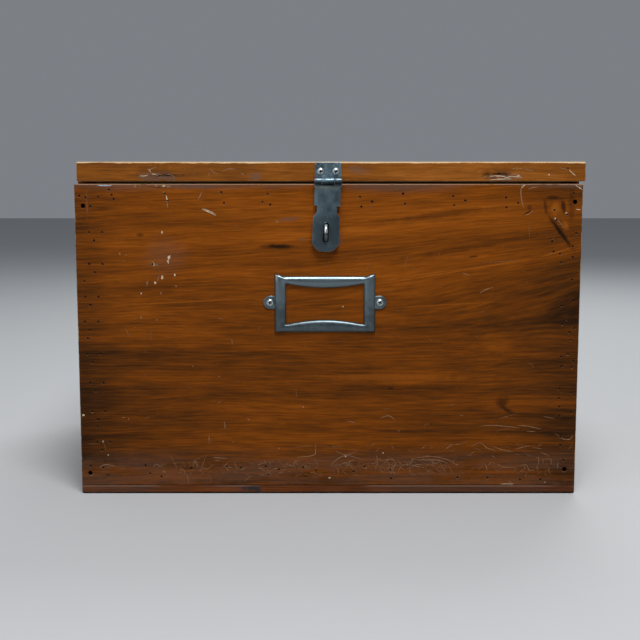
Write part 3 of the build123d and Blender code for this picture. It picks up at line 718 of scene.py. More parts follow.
def wood_finish(name, board):
    """Old stained softwood with its grain along one axis, bare where it was never stained."""
    wood = bpy.context.scene.chest_wood
    s = Shader(name)
    axes = {"X": (s.x, s.y, s.z), "Y": (s.y, s.x, s.z), "Z": (s.z, s.x, s.y)}
    long, one, two = axes[board.along]
    bend = s.noise(s.joined(long * 4.0, one * 9.0, two * 9.0 + board.seed)) - 0.5
    two = two + bend * 0.014 - board.climb(s)
    one = one + bend * 0.010
    grain = s.joined(long + board.seed, one + board.seed * 1.7, two)
    layers, value = {}, MIDDLE_TONE + board.tone
    for layer, (along, across, detail, roughness, share) in GRAIN.items():
        fibres = s.stretched(grain, (along, across, across))
        layers[layer] = s.noise(fibres, 1.0, detail, roughness)
        value = value + (layers[layer] - 0.5) * share
    # The board's light and dark parts; on the front these are painted light and shade.
    value = value + board.shade(s)
    bands, figure, lines = (layers[layer] - 0.5 for layer in ("bands", "figure", "lines"))
    ragged = s.varied((150.0, 150.0, 150.0))
    stops = [
        tuple(c * w for c, w in zip(tint, board.warmth))
        for tint in (wood.figure, wood.late, wood.stain, wood.early, wood.amber)
    ]
    tint = s.ramp(value.clamped(), list(zip((0.0, 0.25, 0.5, 0.75, 1.0), stops)))
    pores = s.step(s.noise(s.stretched(grain, (60.0, 1500.0, 1500.0)), 1.0, 1.0), 0.60, 0.72)
    tint = s.mix(pores * 0.30, tint, stops[0])
    swirl = s.varied((26.0, 26.0, 26.0), 0.0, 0.5, (board.seed, 0, 0))
    broken = s.varied((60.0, 60.0, 60.0), 1.0, 0.5, (0, board.seed, 0))
    hair = s.band(swirl, 0.5, 0.0055) * s.step(broken, 0.60, 0.64) * board.hairlines(s)
    tint = s.mix(hair * 0.7, tint, wood.faint)
    tint = board.marks(s, tint, ragged)
    tint = s.mix(board.arrises(s, ragged) * board.rubbed(s), tint, wood.worn)
    rough = wood.roughness + figure * 0.25 + (layers["clouds"] - 0.5) * 0.25
    bare = board.bare(s)
    if bare is not None:
        sawn = ((0.15, shaded(wood.bare, 0.55)), (0.5, wood.bare), (0.9, shaded(wood.bare, 1.35)))
        raw = s.ramp((0.5 + bands + figure * 0.7 + lines * 0.4).clamped(), sawn)
        tint = s.mix(bare, tint, raw)
        rough = rough + bare * 0.3
    relief = layers["lines"] * 0.5 + layers["figure"] * 0.4 - pores * 0.5
    return s.finish(
        tint, rough, bump=relief, strength=0.22, depth=0.0004, Specular_IOR_Level=0.06
    )


class CaseBoard(Board):
    """A wall of the case, stained outside and bare inside."""

    def rubbed(self, s):
        return 0.25 if self.along == "X" else 0.0

    def bare(self, s):
        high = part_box("base_board")[1]
        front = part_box("front_panel")
        wall = front[1].y - front[0].y
        near, far = 0.2 * MM, 0.8 * MM
        inside = (
            s.step(abs(s.y), high.y - wall + far, high.y - wall + near)
            * s.step(abs(s.x), high.x - wall + far, high.x - wall + near)
            * s.step(s.z, high.z - far, high.z - near)
        )
        rim = s.step(s.z, self.high.z - 0.4 * MM, self.high.z - 0.1 * MM)
        return inside.most(rim * 0.7)


class FrontBoard(CaseBoard):
    """The front board, with the stains and wear that the photograph shows."""

    wider = 1.15
    stronger = 1.25
    # Where the grain begins and ends to climb more steeply across the board, and by how much
    CLIMBS = ((-0.26, -0.12, 0.04), (-0.02, 0.08, 0.09), (0.16, 0.24, 0.09))

    def rubbed(self, s):
        rim = self.high.z
        return s.step(s.z, rim - 0.002, rim - 0.004) * s.step(s.z, 0.012, 0.016) * 0.45

    def climb(self, s):
        """Nearly level at the left and below, climbing to the right above."""
        slope = 0.0
        for start, end, rise in self.CLIMBS:
            run = end - start
            t = ((s.x - start) / run).clamped()
            slope = slope + (t * t * (run / 2) + (s.x - end).most(0.0)) * rise
        return slope * s.step(s.z, 0.145, 0.215, 0.02, 1.0) * s.step(s.z, 0.300, 0.235, 0.45, 1.0)

    def shade(self, s):
        # Painted shade towards the left and right ends, towards the foot and in the lower left
        # corner, and painted light towards the top.
        left = s.step(s.x, -0.185, -0.237, 0.0, -0.22)
        right = s.step(s.x, 0.150, 0.236, 0.0, -0.26)
        high = s.step(s.z, 0.15, 0.24, 0.0, 0.13)
        low = s.step(s.z, 0.16, 0.02, 0.0, -0.02)
        corner = s.spot(s.x, s.z, (-0.20, 0.080), (0.12, 0.075), soft=1.0) * -0.17
        return left + right + high + low + corner

    def marks(self, s, tint, ragged):
        wood = bpy.context.scene.chest_wood
        rim, foot = self.high.z, self.low.z
        uneven = ragged - 0.5
        tints = {"dark": shaded(wood.figure, 0.75), "light": wood.amber, "grey": wood.dusty}
        tint = self.stained(s, tint, FRONT_STAINS, tints, uneven * 0.8)
        # the rubbed band under the rim, deepest right of the hasp
        rubbed = s.varied((11.0, 1.0, 70.0), 3.0, 0.5)
        deep = s.spot(s.x, s.z, (0.065, rim), (0.085, 0.011), soft=0.9)
        deep = deep.most(s.spot(s.x, s.z, (-0.190, rim), (0.070, 0.009), soft=0.9) * 0.8)
        band = s.step(s.z, rim - 6.5 * MM, rim - 1.5 * MM) * s.step(rubbed, 0.38, 0.60)
        tint = s.mix(band.most(deep * 0.85) * 0.85, tint, shaded(wood.dusty, 0.72))
        # the grey scuffed zone along the foot
        haze = s.step(s.z, 0.050, 0.026) * s.step(rubbed + uneven * 0.5, 0.30, 0.66)
        tint = s.mix(haze * 0.28, tint, wood.dusty)
        # dirt in the joint over the base board
        dirt = s.band(s.z, foot, 1.3 * MM, uneven * MM)
        tint = s.mix(dirt * 0.8, tint, tints["dark"])
        # the pale line rubbed along the rim
        pale = s.step(s.z, rim - 1.2 * MM, rim - 0.6 * MM) * s.step(ragged, 0.33, 0.5)
        return s.mix(pale * 0.8, tint, shaded(wood.dusty, 1.9))


class FootBoard(CaseBoard):
    """The base board, whose edge shows as a strip under the walls."""

    def marks(self, s, tint, ragged):
        wood = bpy.context.scene.chest_wood
        uneven = ragged - 0.5
        front = s.step(s.y, self.low.y + 3.0 * MM, self.low.y + 1.5 * MM)
        tints = {"tarnish": wood.tarnish}
        tint = self.stained(s, tint, FOOT_STAINS, tints, uneven * 2.0, front, 1.0)
        scuffed = s.varied((14.0, 14.0, 1.0), 3.0, 0.5)
        tint = s.mix(s.step(scuffed, 0.30, 0.70) * 0.45, tint, shaded(wood.dusty, 0.6))
        # Painted highlight: a pale broken line along the top edge, where it catches the light.
        top = self.high.z
        line = s.step(s.z, top - 1.4 * MM, top - 0.6 * MM) * s.step(scuffed, 0.42, 0.56)
        tint = s.mix(line * 0.65, tint, shaded(wood.dusty, 1.8))
        # Painted contact shadow: the lowest couple of millimetres turn near black.
        dirt = s.step(s.z + uneven * (0.8 * MM), 2.2 * MM, 1.3 * MM) * 0.92
        return s.mix(dirt, tint, wood.dirt)

    def rubbed(self, s):
        return 0.0

    def bare(self, s):
        inner = s.step(s.y, self.low.y + 4.0 * MM, self.low.y + 5.0 * MM)
        upper = s.step(s.z, self.high.z - 0.2 * MM, self.high.z) * inner
        return upper.most(s.step(s.z, 0.2 * MM, 0.05 * MM))


class LidBoard(Board):
    """The lid: golden, with worn arrises and knocks along its front edge."""

    def shade(self, s):
        across = s.step(s.x, -0.10, 0.02, -0.05, 0.09)
        cool = s.step(s.x, 0.19, 0.236, 0.0, -0.05)
        return across + cool

    def marks(self, s, tint, ragged):
        wood = bpy.context.scene.chest_wood
        uneven = ragged - 0.5
        front = s.step(s.y, self.low.y + 3.0 * MM, self.low.y + 1.2 * MM)
        tints = {"grey": wood.dusty, "brown": wood.late, "black": wood.figure}
        tint = self.stained(s, tint, LID_STAINS, tints, uneven * 1.8, front)
        patchy = s.varied((38.0, 1.0, 1.0))
        depth = uneven * (1.6 * MM) + (patchy - 0.5) * (3.0 * MM)
        worn = s.step(s.z + depth, self.high.z - 1.6 * MM, self.high.z - 0.7 * MM)
        worn = worn * front * s.step(patchy, 0.25, 0.6, 0.55, 0.95)
        tint = s.mix(worn, tint, wood.worn)
        middle, half = (self.low.x + self.high.x) / 2, (self.high.x - self.low.x) / 2
        away = abs(s.x - middle) + uneven * (1.6 * MM)
        ends = s.step(away, half - 1.1 * MM, half - 0.4 * MM)
        return s.mix(ends * front * 0.5, tint, wood.worn)

    def rubbed(self, s):
        low, high = self.low, self.high
        upper = s.step(s.z, (low.z + high.z) / 2, high.z - 4.0 * MM, 0.1, 0.8)
        return upper * s.step(s.y, low.y + 4.0 * MM, low.y + 20.0 * MM, 1.0, 0.40)

    def bare(self, s):
        return s.step(s.z, self.low.z + 0.2 * MM, self.low.z + 0.05 * MM)


class FramingWood(Board):
    """Bare sawn wood inside the case."""

    def bare(self, s):
        return 1.0


# Metal


def metal_finish(
    name, base, roughness, metallic=0.75, mottle=0.2, scale=260.0, height=None, shade_and_tint=None
):
    """Old sheet steel: a little mottled, with duller patches and fine scratches.

    height adds painted light and shade to the steel's value from place to place; the last argument
    gives masks and their tints, painted shadows among them.
    """
    s = Shader(name)
    patches = s.noise(s.place, scale, 3.0, 0.6)
    cloud = s.noise(s.place, scale * 0.25)
    fine = s.varied((900.0, 900.0, 240.0), 2.0, 0.5)
    value = 0.5 + (patches - 0.5) * 1.2 + (cloud - 0.5) * 1.0 + (fine - 0.5) * 0.25
    if height is not None:
        value = value + height(s)
    stops = [shaded(base, share) for share in (1 - mottle, 1.0, 1 + mottle)]
    tint = s.ramp(value.clamped(), list(zip((0.1, 0.5, 0.9), stops)))
    for mask, dirt in shade_and_tint(s) if shade_and_tint else ():
        tint = s.mix(mask, tint, dirt)
    rough = roughness + (cloud - 0.5) * 0.22 + (fine - 0.5) * 0.10
    return s.finish(tint, rough, metallic, patches * 0.6 + fine * 0.4, 0.12, 0.0002)


def flat_finish(name, tint, roughness=0.9):
    """A dull finish that wanders a little round one colour, for scratches and the painted shade of
    screw recesses.
    """
    s = Shader(name)
    wander = s.noise(s.place, 500.0)
    stops = ((0.3, shaded(tint, 0.7)), (0.7, shaded(tint, 1.3)))
    return s.finish(s.ramp(wander, stops), roughness, Specular_IOR_Level=0.03)


# Mesh helpers

# Corners nearer to each other than this are one
TOUCHING = 0.001 * MM


def mesh_of(name, bm):
    """A mesh made from a bmesh, which is freed."""
    mesh = bpy.data.meshes.new(name)
    bm.to_mesh(mesh)
    bm.free()
    return mesh


def placed(name, data):
    """A new object in the scene."""
    obj = bpy.data.objects.new(name, data)
    bpy.context.scene.collection.objects.link(obj)
    return obj


def new_piece(name, bm, body, materials, nodes=(), smooth=35.0):
    """A finished object from a bmesh: it rides on a body and may stand for CAD nodes."""
    mesh = mesh_of(name, bm)
    for material in materials:
        mesh.materials.append(material)
    mesh.shade_smooth()
    mesh.set_sharp_from_angle(angle=radians(smooth))
    obj = placed(name, mesh)
    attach(obj, body)
    if nodes:
        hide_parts(*nodes)


def paint(material, *nodes):
    """Gives carried-over CAD nodes their finish."""
    for node in nodes:
        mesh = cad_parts[node].data
        mesh.materials.clear()
        mesh.materials.append(material)


def merged_copy(node):
    """A copy of a CAD node's mesh with its loose triangles joined."""
    bm = bmesh.new()
    bm.from_mesh(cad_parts[node].data)
    bmesh.ops.remove_doubles(bm, verts=bm.verts, dist=TOUCHING)
    return bm


def rounded(bm, edges, width):
    """Rounds edges over a width, and gives their new faces."""
    return bmesh.ops.bevel(
        bm,
        geom=edges,
        offset=width,
        offset_type="OFFSET",
        segments=2,
        profile=0.5,
        affect="EDGES",
        material=-1,
        clamp_overlap=True,
    )["faces"]


def softened_sheet(node, width):
    """A copy of a CAD node's sheet with its sharp edges rounded; their faces take material 1."""
    bm = merged_copy(node)
    bmesh.ops.dissolve_limit(
        bm, angle_limit=radians(0.5), verts=bm.verts[:], edges=bm.edges[:]
    )
    sharp = radians(25)
    edges = [e for e in bm.edges if len(e.link_faces) == 2 and e.calc_face_angle(0.0) > sharp]
    for face in rounded(bm, edges, width):
        face.material_index = 1
    return bm


def islands(node):
    """The middle and half size of each separate solid in a CAD node."""
    bm = merged_copy(node)
    waiting, found = set(bm.verts), []
    while waiting:
        group = [waiting.pop()]
        for vert in group:
            others = {edge.other_vert(vert) for edge in vert.link_edges} & waiting
            waiting -= others
            group.extend(others)
        low = Vector(min(vert.co[i] for vert in group) for i in range(3))
        high = Vector(max(vert.co[i] for vert in group) for i in range(3))
        found.append(((low + high) / 2, (high - low) / 2))
    bm.free()
    return sorted(found, key=lambda item: tuple(item[0]))


def face_of(side):
    """The frame of a flat side: across, up and outwards, in metres from the frame's origin."""
    half_depth = -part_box("front_panel")[0].y
    across, up, out, origin = {
        "front": ((1, 0, 0), (0, 0, 1), (0, -1, 0), (0, -half_depth, 0)),
        "back": ((-1, 0, 0), (0, 0, 1), (0, 1, 0), (0, half_depth, 0)),
    }[side]
    turn = Matrix((across, up, out)).transposed().to_4x4()
    return Matrix.Translation(origin) @ turn


def curve_through(points, steps):
    """Places along a smooth curve through points, evenly shared between them."""
    ends = [points[0] * 2 - points[1], *points, points[-1] * 2 - points[-2]]
    path = []
    for a, b, c, d in zip(ends, ends[1:], ends[2:], ends[3:]):
        for t in (i / steps for i in range(steps)):
            straight = b * 2 + (c - a) * t
            square, cube = a * 2 - b * 5 + c * 4 - d, b * 3 - a - c * 3 + d
            path.append((straight + square * t**2 + cube * t**3) / 2)
    return [*path, points[-1]]


TONES = ("pale", "tan", "faint", "blue", "rust")
# How far the scratches stand out of the wood
PROUD = 0.04 * MM


def scratch(bm, face, tone, width, points, chance):
    """A thin ribbon through points in millimetres on a side, narrow at both ends."""
    places = [Vector((x, y, 0)) * MM for x, y in points]
    reach = sum((b - a).length for a, b in zip(places, places[1:]))
    steps = max(2, min(6, round(reach / MM / 3 / (len(places) - 1))))
    path = curve_through(places, steps)
    last = len(path) - 1
    edge = None
    for i, here in enumerate(path):
        ahead = (path[min(i + 1, last)] - path[max(i - 1, 0)]).normalized()
        side = Vector((-ahead.y, ahead.x, 0)) * width * MM
        taper = sin(pi * (0.12 + 0.76 * i / last)) * chance.uniform(0.75, 1.1)
        here = here + side * chance.uniform(-0.12, 0.12) + Vector((0, 0, PROUD))
        ends = [face @ (here + side * (k * taper / 2)) for k in (-1, 1)]
        if edge is None:
            edge = bm.edges.new([bm.verts.new(end) for end in ends])
            continue
        made = bmesh.ops.extrude_edge_only(bm, edges=[edge])["geom"]
        new = [g for g in made if isinstance(g, bmesh.types.BMVert)]
        start = edge.verts[0]
        if not any(e.other_vert(start) is new[0] for e in start.link_edges):
            new.reverse()
        for vert, end in zip(new, ends):
            vert.co = end
        edge = next(e for e in new[0].link_edges if e.other_vert(new[0]) is new[1])
        for piece in edge.link_faces:
            piece.material_index = TONES.index(tone)


def speck(bm, face, tone, centre, size, chance):
    """A small ragged spot on a side, in millimetres."""
    place = face @ Matrix.Translation((centre[0] * MM, centre[1] * MM, PROUD))
    verts = bmesh.ops.create_circle(
        bm,
        cap_ends=True,
        segments=9,
        radius=MM,
        matrix=place @ Matrix.Diagonal((*size, 1, 1)),
    )["verts"]
    middle = place.translation
    for vert in verts:
        vert.co = middle + (vert.co - middle) * chance.uniform(0.45, 1.15)
    for piece in verts[0].link_faces:
        piece.material_index = TONES.index(tone)


def random_scratches(bm, face, chance, zone, count, reach, tones, lean, bend=38.0):
    """Short curved scratches strewn over a zone of a side, leaning and bent by some degrees."""
    across, up = zone
    for _ in range(count):
        x, y = chance.uniform(*across), chance.uniform(*up)
        heading = radians(chance.gauss(0.0, lean)) + (pi if chance.random() < 0.5 else 0.0)
        bow = radians(chance.gauss(0.0, bend))
        run = chance.uniform(*reach) / 3
        points = [(x, y)]
        for _ in range(3):
            x, y = x + run * cos(heading), y + run * sin(heading)
            if not (across[0] < x < across[1] and up[0] < y < up[1]):
                break
            points.append((x, y))
            heading += bow
        if len(points) > 1:
            tone, width = chance.choice(tones), chance.uniform(0.25, 0.55)
            scratch(bm, face, tone, width, points, chance)


def noted_wear(bm, face, scratches, specks, chance):
    """The scratches and specks of one board's tables."""
    for view, (tone, width, *points) in noted(scratches):
        scratch(bm, face, tone, width, [on_board(view, point) for point in points], chance)
    for view, (tone, centre, size) in noted(specks):
        speck(bm, face, tone, on_board(view, centre), size_on_board(view, size), chance)


def wear_piece(name, bm, body):
    """Gives the ribbons their thin body and their tones."""
    bmesh.ops.recalc_face_normals(bm, faces=bm.faces)
    bmesh.ops.solidify(bm, geom=bm.faces[:], thickness=PROUD * 1.5)
    bmesh.ops.recalc_face_normals(bm, faces=bm.faces)
    wood = bpy.context.scene.chest_wood
    tones = [flat_finish(f"{tone.title()} scratch", getattr(wood, tone)) for tone in TONES]
    new_piece(name, bm, body, tones, smooth=50)


def dome_radius(screw):
    """The radius of the ball that a pan head's crown is a part of."""
    crown = screw.height - screw.brim
    return (screw.radius**2 + crown**2) / (2 * crown)


def crown_height(screw, away):
    """How high a pan head is at a distance from its middle."""
    dome = dome_radius(screw)
    return screw.height - dome + (dome**2 - away**2) ** 0.5


def pan_head(screw):
    """A pan head with its seat at the origin and its crown towards -Y."""
    dome = dome_radius(screw)
    span = asin(screw.radius / dome)
    profile = [(screw.radius - 0.15 * MM, 0.0), (screw.radius, 0.15 * MM)]
    for away in (dome * sin(span * (1 - i / 7)) for i in range(8)):
        profile.append((away, crown_height(screw, away)))
    bm = bmesh.new()
    verts = [bm.verts.new((away, -height, 0.0)) for away, height in profile]
    edges = [bm.edges.new(pair) for pair in zip(verts, verts[1:])]
    bmesh.ops.spin(
        bm,
        geom=verts + edges,
        cent=(0, 0, 0),
        axis=(0, 1, 0),
        angle=2 * pi,
        steps=40,
        use_merge=True,
    )
    bmesh.ops.remove_doubles(bm, verts=bm.verts, dist=TOUCHING)
    bmesh.ops.holes_fill(bm, edges=[e for e in bm.edges if e.is_boundary], sides=0)
    bmesh.ops.recalc_face_normals(bm, faces=bm.faces)
    return mesh_of("head", bm)


def cross_blades(screw):
    """Two crossed blades that narrow towards their tips."""
    bm = bmesh.new()
    for turn in (0, 90):
        made = bmesh.ops.create_cube(
            bm,
            size=1.0,
            matrix=Matrix.Translation((0, -screw.height, 0))
            @ Matrix.Rotation(radians(turn), 4, "Y")
            @ Matrix.Diagonal((2 * screw.arm, 2 * screw.depth, screw.arm * 0.48, 1)),
        )
        for vert in made["verts"]:
            if vert.co.y > -screw.height:
                vert.co.x *= 0.45
                vert.co.z *= 0.45
    return mesh_of("blades", bm)


def cross_head(screw):
    """A pan head with a cross recess, whose faces take material 1."""
    head, blades = placed("head", pan_head(screw)), placed("blades", cross_blades(screw))
    cut = head.modifiers.new("cut", "BOOLEAN")
    cut.operation = "DIFFERENCE"
    cut.solver = "EXACT"
    cut.use_self = True
    cut.object = blades
    graph = bpy.context.evaluated_depsgraph_get()
    shaped = bpy.data.meshes.new_from_object(head.evaluated_get(graph))
    for obj in (head, blades):
        bpy.data.objects.remove(obj)
    for face in shaped.polygons:
        away = Vector((face.center.x, face.center.z)).length
        if away < screw.arm * 1.1:
            deep = crown_height(screw, away) + face.center.y
            face.material_index = int(deep > 0.1 * MM)
    return shaped


def holder_outline(holder):
    """The frame's outer places and the window's places beside them, all the way round."""
    half, top = holder.width / 2, holder.height / 2
    window = half - holder.side_bar
    lintel, sill = top - holder.top_bar, holder.bottom_bar - top
    peak = top + holder.horn_rise
    horn = holder.horn_width / holder.width
    shares = [i / 16 for i in range(16)]
    bent = sorted({0.0, horn / 2, horn, 1 - horn, 1 - horn / 2, *shares[2:15]})
    pairs = []
    for t in bent:
        x = holder.width * (t - 0.5)
        rise = min(1.0, max(0.0, (abs(x) - half + holder.horn_width) / (holder.horn_width / 2)))
        bow = holder.top_bow * (1 - (2 * t - 1) ** 2)
        pairs.append(((x, top + holder.horn_rise * rise), (x * window / half, lintel - bow)))
    for t in shares[::2]:
        pairs.append(((half, peak - (peak + top) * t), (window, lintel - (lintel - sill) * t)))
    for t in shares:
        x = holder.width * (0.5 - t)
        bow = holder.bottom_bow * (1 - (2 * t - 1) ** 2)
        pairs.append(((x, -top), (x * window / half, sill + bow)))
    for t in shares[::2]:
        pairs.append(((-half, (peak + top) * t - top), (-window, sill + (lintel - sill) * t)))
    return pairs


# Where the rings of a pressed bar lie, from its outer edge to the window
BAR_RINGS = (0, 0.03, 0.08, 0.16, 0.28, 0.42, 0.58, 0.72, 0.84, 0.92, 0.97, 1)


def pressed_frame(holder):
    """The label holder's rounded bars, extruded ring by ring from the outer edge to the window."""
    rows = [(0, 0.0)]
    for across in BAR_RINGS:
        crown = (1 - abs(2 * across - 1) ** 2.2) ** (1 / 1.9)
        rows.append((across, holder.brim + (holder.relief - holder.brim) * crown))
    rows.append((1, 0.0))
    pairs = holder_outline(holder)
    bm = bmesh.new()
    first = bmesh.ops.create_circle(bm, segments=len(pairs), radius=holder.width)["verts"]
    ring = first
    for row, (across, level) in enumerate(rows):
        if row:
            edges = [bm.edges.get(pair) for pair in zip(ring, ring[1:] + ring[:1])]
            made = set(bmesh.ops.extrude_edge_only(bm, edges=edges)["geom"])
            ring = [
                next(e.other_vert(vert) for e in vert.link_edges if e.other_vert(vert) in made)
                for vert in ring
            ]
        for vert, (outer, inner) in zip(ring, pairs):
            vert.co = (*Vector(outer).lerp(Vector(inner), across), level)
    loops = [pair for loop in (first, ring) for pair in zip(loop, loop[1:] + loop[:1])]
    bmesh.ops.bridge_loops(bm, edges=[bm.edges.get(pair) for pair in loops])
    return bm


def screw_ear(bm, holder, side):
    """A rounded ear that runs under the frame's side bar."""
    middle = side * (holder.width / 2 + holder.ear_reach)
    rim = bmesh.ops.create_circle(
        bm,
        cap_ends=True,
        segments=28,
        radius=holder.ear_radius,
        matrix=Matrix.Translation((middle, holder.ear_rise, 0)),
    )["verts"]
    for vert in rim:
        if (vert.co.x - middle) * side < -holder.ear_radius * 0.05:
            vert.co.x = middle - side * (holder.ear_reach + 2 * MM)
    bmesh.ops.remove_doubles(bm, verts=rim, dist=1e-7)
    rim = [v for v in rim if v.is_valid]
    made = bmesh.ops.extrude_face_region(bm, geom=rim[0].link_faces[:], use_keep_orig=True)["geom"]
    top = [g for g in made if isinstance(g, bmesh.types.BMVert)]
    bmesh.ops.translate(bm, verts=top, vec=(0, 0, holder.ear_thick))
    edges = [e for e in bm.edges if e.verts[0] in top and e.verts[1] in top]
    rounded(bm, edges, holder.ear_thick * 0.4)


def tube(points, radius, bend):
    """A round bar along straight runs with round bends between them."""
    sides, turns = 20, 8
    path = [Vector(points[0])]
    for before, corner, after in zip(points, points[1:], points[2:]):
        corner = Vector(corner)
        start = corner + (Vector(before) - corner).normalized() * bend
        end = corner + (Vector(after) - corner).normalized() * bend
        centre = start + end - corner
        for t in (i / turns * pi / 2 for i in range(turns + 1)):
            path.append(centre + (start - centre) * cos(t) + (end - centre) * sin(t))
    path.append(Vector(points[-1]))
    last = len(path) - 1
    bm = bmesh.new()
    rings = []
    for i, here in enumerate(path):
        ahead = path[min(i + 1, last)] - path[max(i - 1, 0)]
        ring = bmesh.ops.create_circle(
            bm,
            cap_ends=i in (0, last),
            radius=radius,
            segments=sides,
            matrix=Matrix.Translation(here) @ ahead.to_track_quat("Z", "X").to_matrix().to_4x4(),
        )["verts"]
        rings.append({e for v in ring for e in v.link_edges})
    for first, second in zip(rings, rings[1:]):
        bmesh.ops.bridge_loops(bm, edges=[*first, *second])
    bmesh.ops.recalc_face_normals(bm, faces=bm.faces)
    return bm


# The pieces


class CHEST_OT_boards(Operator):
    """Stains the boards of the case and the lid"""

    bl_idname = "chest.boards"
    bl_label = "Boards"

    def execute(self, context):
        red, golden = (1.0, 0.98, 2.0), (1.02, 1.24, 2.6)
        for name, board in (
            ("Stained front board", FrontBoard("front_panel", "X", 0.37, arris=0.7)),
            ("Stained back board", CaseBoard("back_panel", "X", 4.1)),
            ("Stained left board", CaseBoard("left_side", "Y", 7.9, -0.03)),
            ("Stained right board", CaseBoard("right_side", "Y", 3.3, -0.03)),
            ("Stained base board", FootBoard("base_board", "X", 12.3, -0.13, red, 0.4)),
            ("Stained lid board", LidBoard("lid_board", "X", 9.6, 0.13, golden, 0.9)),
        ):
            paint(wood_finish(name, board), board.node)
        for name, board, start in (
            ("Bare post wood", FramingWood("corner_post_front_left", "Z", 2.2), "corner_post"),
            ("Bare rail wood", FramingWood("top_batten_front", "X", 5.7), "top_batten"),
            ("Bare cleat wood", FramingWood("bottom_cleat_left", "Y", 6.4), "bottom_cleat"),
        ):
            paint(wood_finish(name, board), *[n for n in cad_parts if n.startswith(start)])
        return {"FINISHED"}


class CHEST_OT_wear(Operator):
    """Scratches and specks on the boards, and a painted reflection of the sky on the front's rim"""

    bl_idname = "chest.wear"
    bl_label = "Wear"

    def execute(self, context):
        chance = Random(11)
        front, back = face_of("front"), face_of("back")
        bm = bmesh.new()
        noted_wear(bm, front, FRONT_SCRATCHES, FRONT_SPECKS, chance)
        for zone, count, reach in (
            (((-160.0, -110.0), (17.0, 33.0)), 26, (3.0, 9.0)),
            (((-110.0, -70.0), (17.0, 33.0)), 14, (3.0, 8.0)),
            (((-68.0, -4.0), (16.0, 34.0)), 70, (3.0, 11.0)),
            (((2.0, 40.0), (18.0, 35.0)), 34, (3.0, 11.0)),
            (((40.0, 125.0), (18.0, 35.0)), 78, (4.0, 14.0)),
            (((125.0, 215.0), (16.0, 32.0)), 36, (3.0, 9.0)),
            (((30.0, 226.0), (34.0, 50.0)), 22, (4.0, 11.0)),
        ):
            tones = ("tan", "faint", "faint")
            random_scratches(bm, front, chance, zone, count, reach, tones, lean=48.0)
        everywhere = ((-232.0, 232.0), (50.0, 285.0))
        random_scratches(bm, front, chance, everywhere, 30, (2.0, 9.0), ("faint",), lean=60.0)
        for _ in range(70):
            centre = (chance.uniform(-230, 230), chance.uniform(12, 285))
            speck(bm, front, chance.choice(("tan", "faint")), centre, (0.45, 0.35), chance)
        wear_piece("front_scratches", bm, "case")

        bm = bmesh.new()
        noted_wear(bm, front, LID_SCRATCHES, LID_SPECKS, chance)
        wear_piece("lid_scratches", bm, "lid")

        bm = bmesh.new()
        for zone, count, reach, tones, lean, bend in (
            (((-228.0, 228.0), (12.0, 50.0)), 60, (3.0, 14.0), ("tan", "faint"), 45.0, 20.0),
            (((-228.0, 228.0), (50.0, 285.0)), 40, (4.0, 26.0), ("faint", "tan"), 50.0, 14.0),
        ):
            random_scratches(bm, back, chance, zone, count, reach, tones, lean, bend)
        wear_piece("back_scratches", bm, "case")
        return {"FINISHED"}


class CHEST_OT_nails(Operator):
    """Darkens the nails and sunk screws and frays the wood round their holes"""

    bl_idname = "chest.nails"
    bl_label = "Nails"

    def execute(self, context):
        metal = context.scene.chest_metal
        iron = metal_finish("Nail iron", metal.iron, 0.7, 0.4, 0.4, 900.0)
        paint(iron, "front_nails", "back_nails", "side_nails", "base_nails", "front_corner_screws")
        chance = Random(23)
        front = face_of("front")
        bm = bmesh.new()
        for middle, half in islands("front_nails") + islands("front_corner_screws"):
            reach = half.x / MM + 0.55
            x, z = middle.x / MM, middle.z / MM
            if half.x < 1.2 * MM:
                speck(bm, front, "rust", (x, z), (1.35, 1.2), chance)
            start, sweep = chance.uniform(190.0, 225.0), chance.uniform(90.0, 150.0)
            turns = [radians(start + sweep * i / 3) for i in range(4)]
            points = [(x + reach * cos(turn), z + reach * sin(turn)) for turn in turns]
            tone = chance.choice(("tan", "faint", "faint", "faint"))
            scratch(bm, front, tone, chance.uniform(0.3, 0.5), points, chance)
        wear_piece("nail_hole_rims", bm, "case")
        return {"FINISHED"}


class CHEST_OT_hasp(Operator):
    """Softens the hasp's leaf and strap and finishes its pin"""

    bl_idname = "chest.hasp"
    bl_label = "Hasp"

    def execute(self, context):
        metal = context.scene.chest_metal
        low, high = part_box("hasp_pin")
        knuckle = (low.z + high.z) / 2

        # Painted shade: the strap grows darker towards its lower end.
        def painted_shade_below(s):
            return s.step(s.z, knuckle - 18 * MM, knuckle - 50 * MM, 0.10, -0.55)

        def shade_and_tint(s):
            """Painted shadow under the knuckles, and dust with a painted warm reflection in the
            bends below them.
            """
            for dirt, share, *depths in (
                (metal.knuckle_shadow, 0.85, -0.4, 1.2, 3.4, 4.2),
                (metal.dust_and_warm_reflection, 0.35, 3.6, 4.6, 7.0, 8.5),
            ):
                a, b, c, d = (knuckle - depth * MM for depth in depths)
                yield s.step(s.z, a, b) * s.step(s.z, d, c) * share, dirt

        strap = metal_finish(
            "Strap steel", metal.strap, 0.38, 0.85, 0.42, 120.0, painted_shade_below, shade_and_tint
        )
        leaf = metal_finish("Leaf steel", metal.leaf, 0.38, 0.85, 0.7, 420.0, shade_and_tint=shade_and_tint)
        # Worn edges that also carry a painted highlight on every rounded edge of the leaf and
        # strap.
        worn = metal_finish("Worn steel edge", shaded(metal.strap, 1.9), 0.35, 0.75, 0.45, 700.0)
        for node, body, steel in (("hasp_leaf", "lid", leaf), ("hasp_strap", "strap", strap)):
            bm = softened_sheet(node, metal.edge_width)
            new_piece(f"{node}_plate", bm, body, (steel, worn), (node,))
        paint(strap, "hasp_pin")
        return {"FINISHED"}


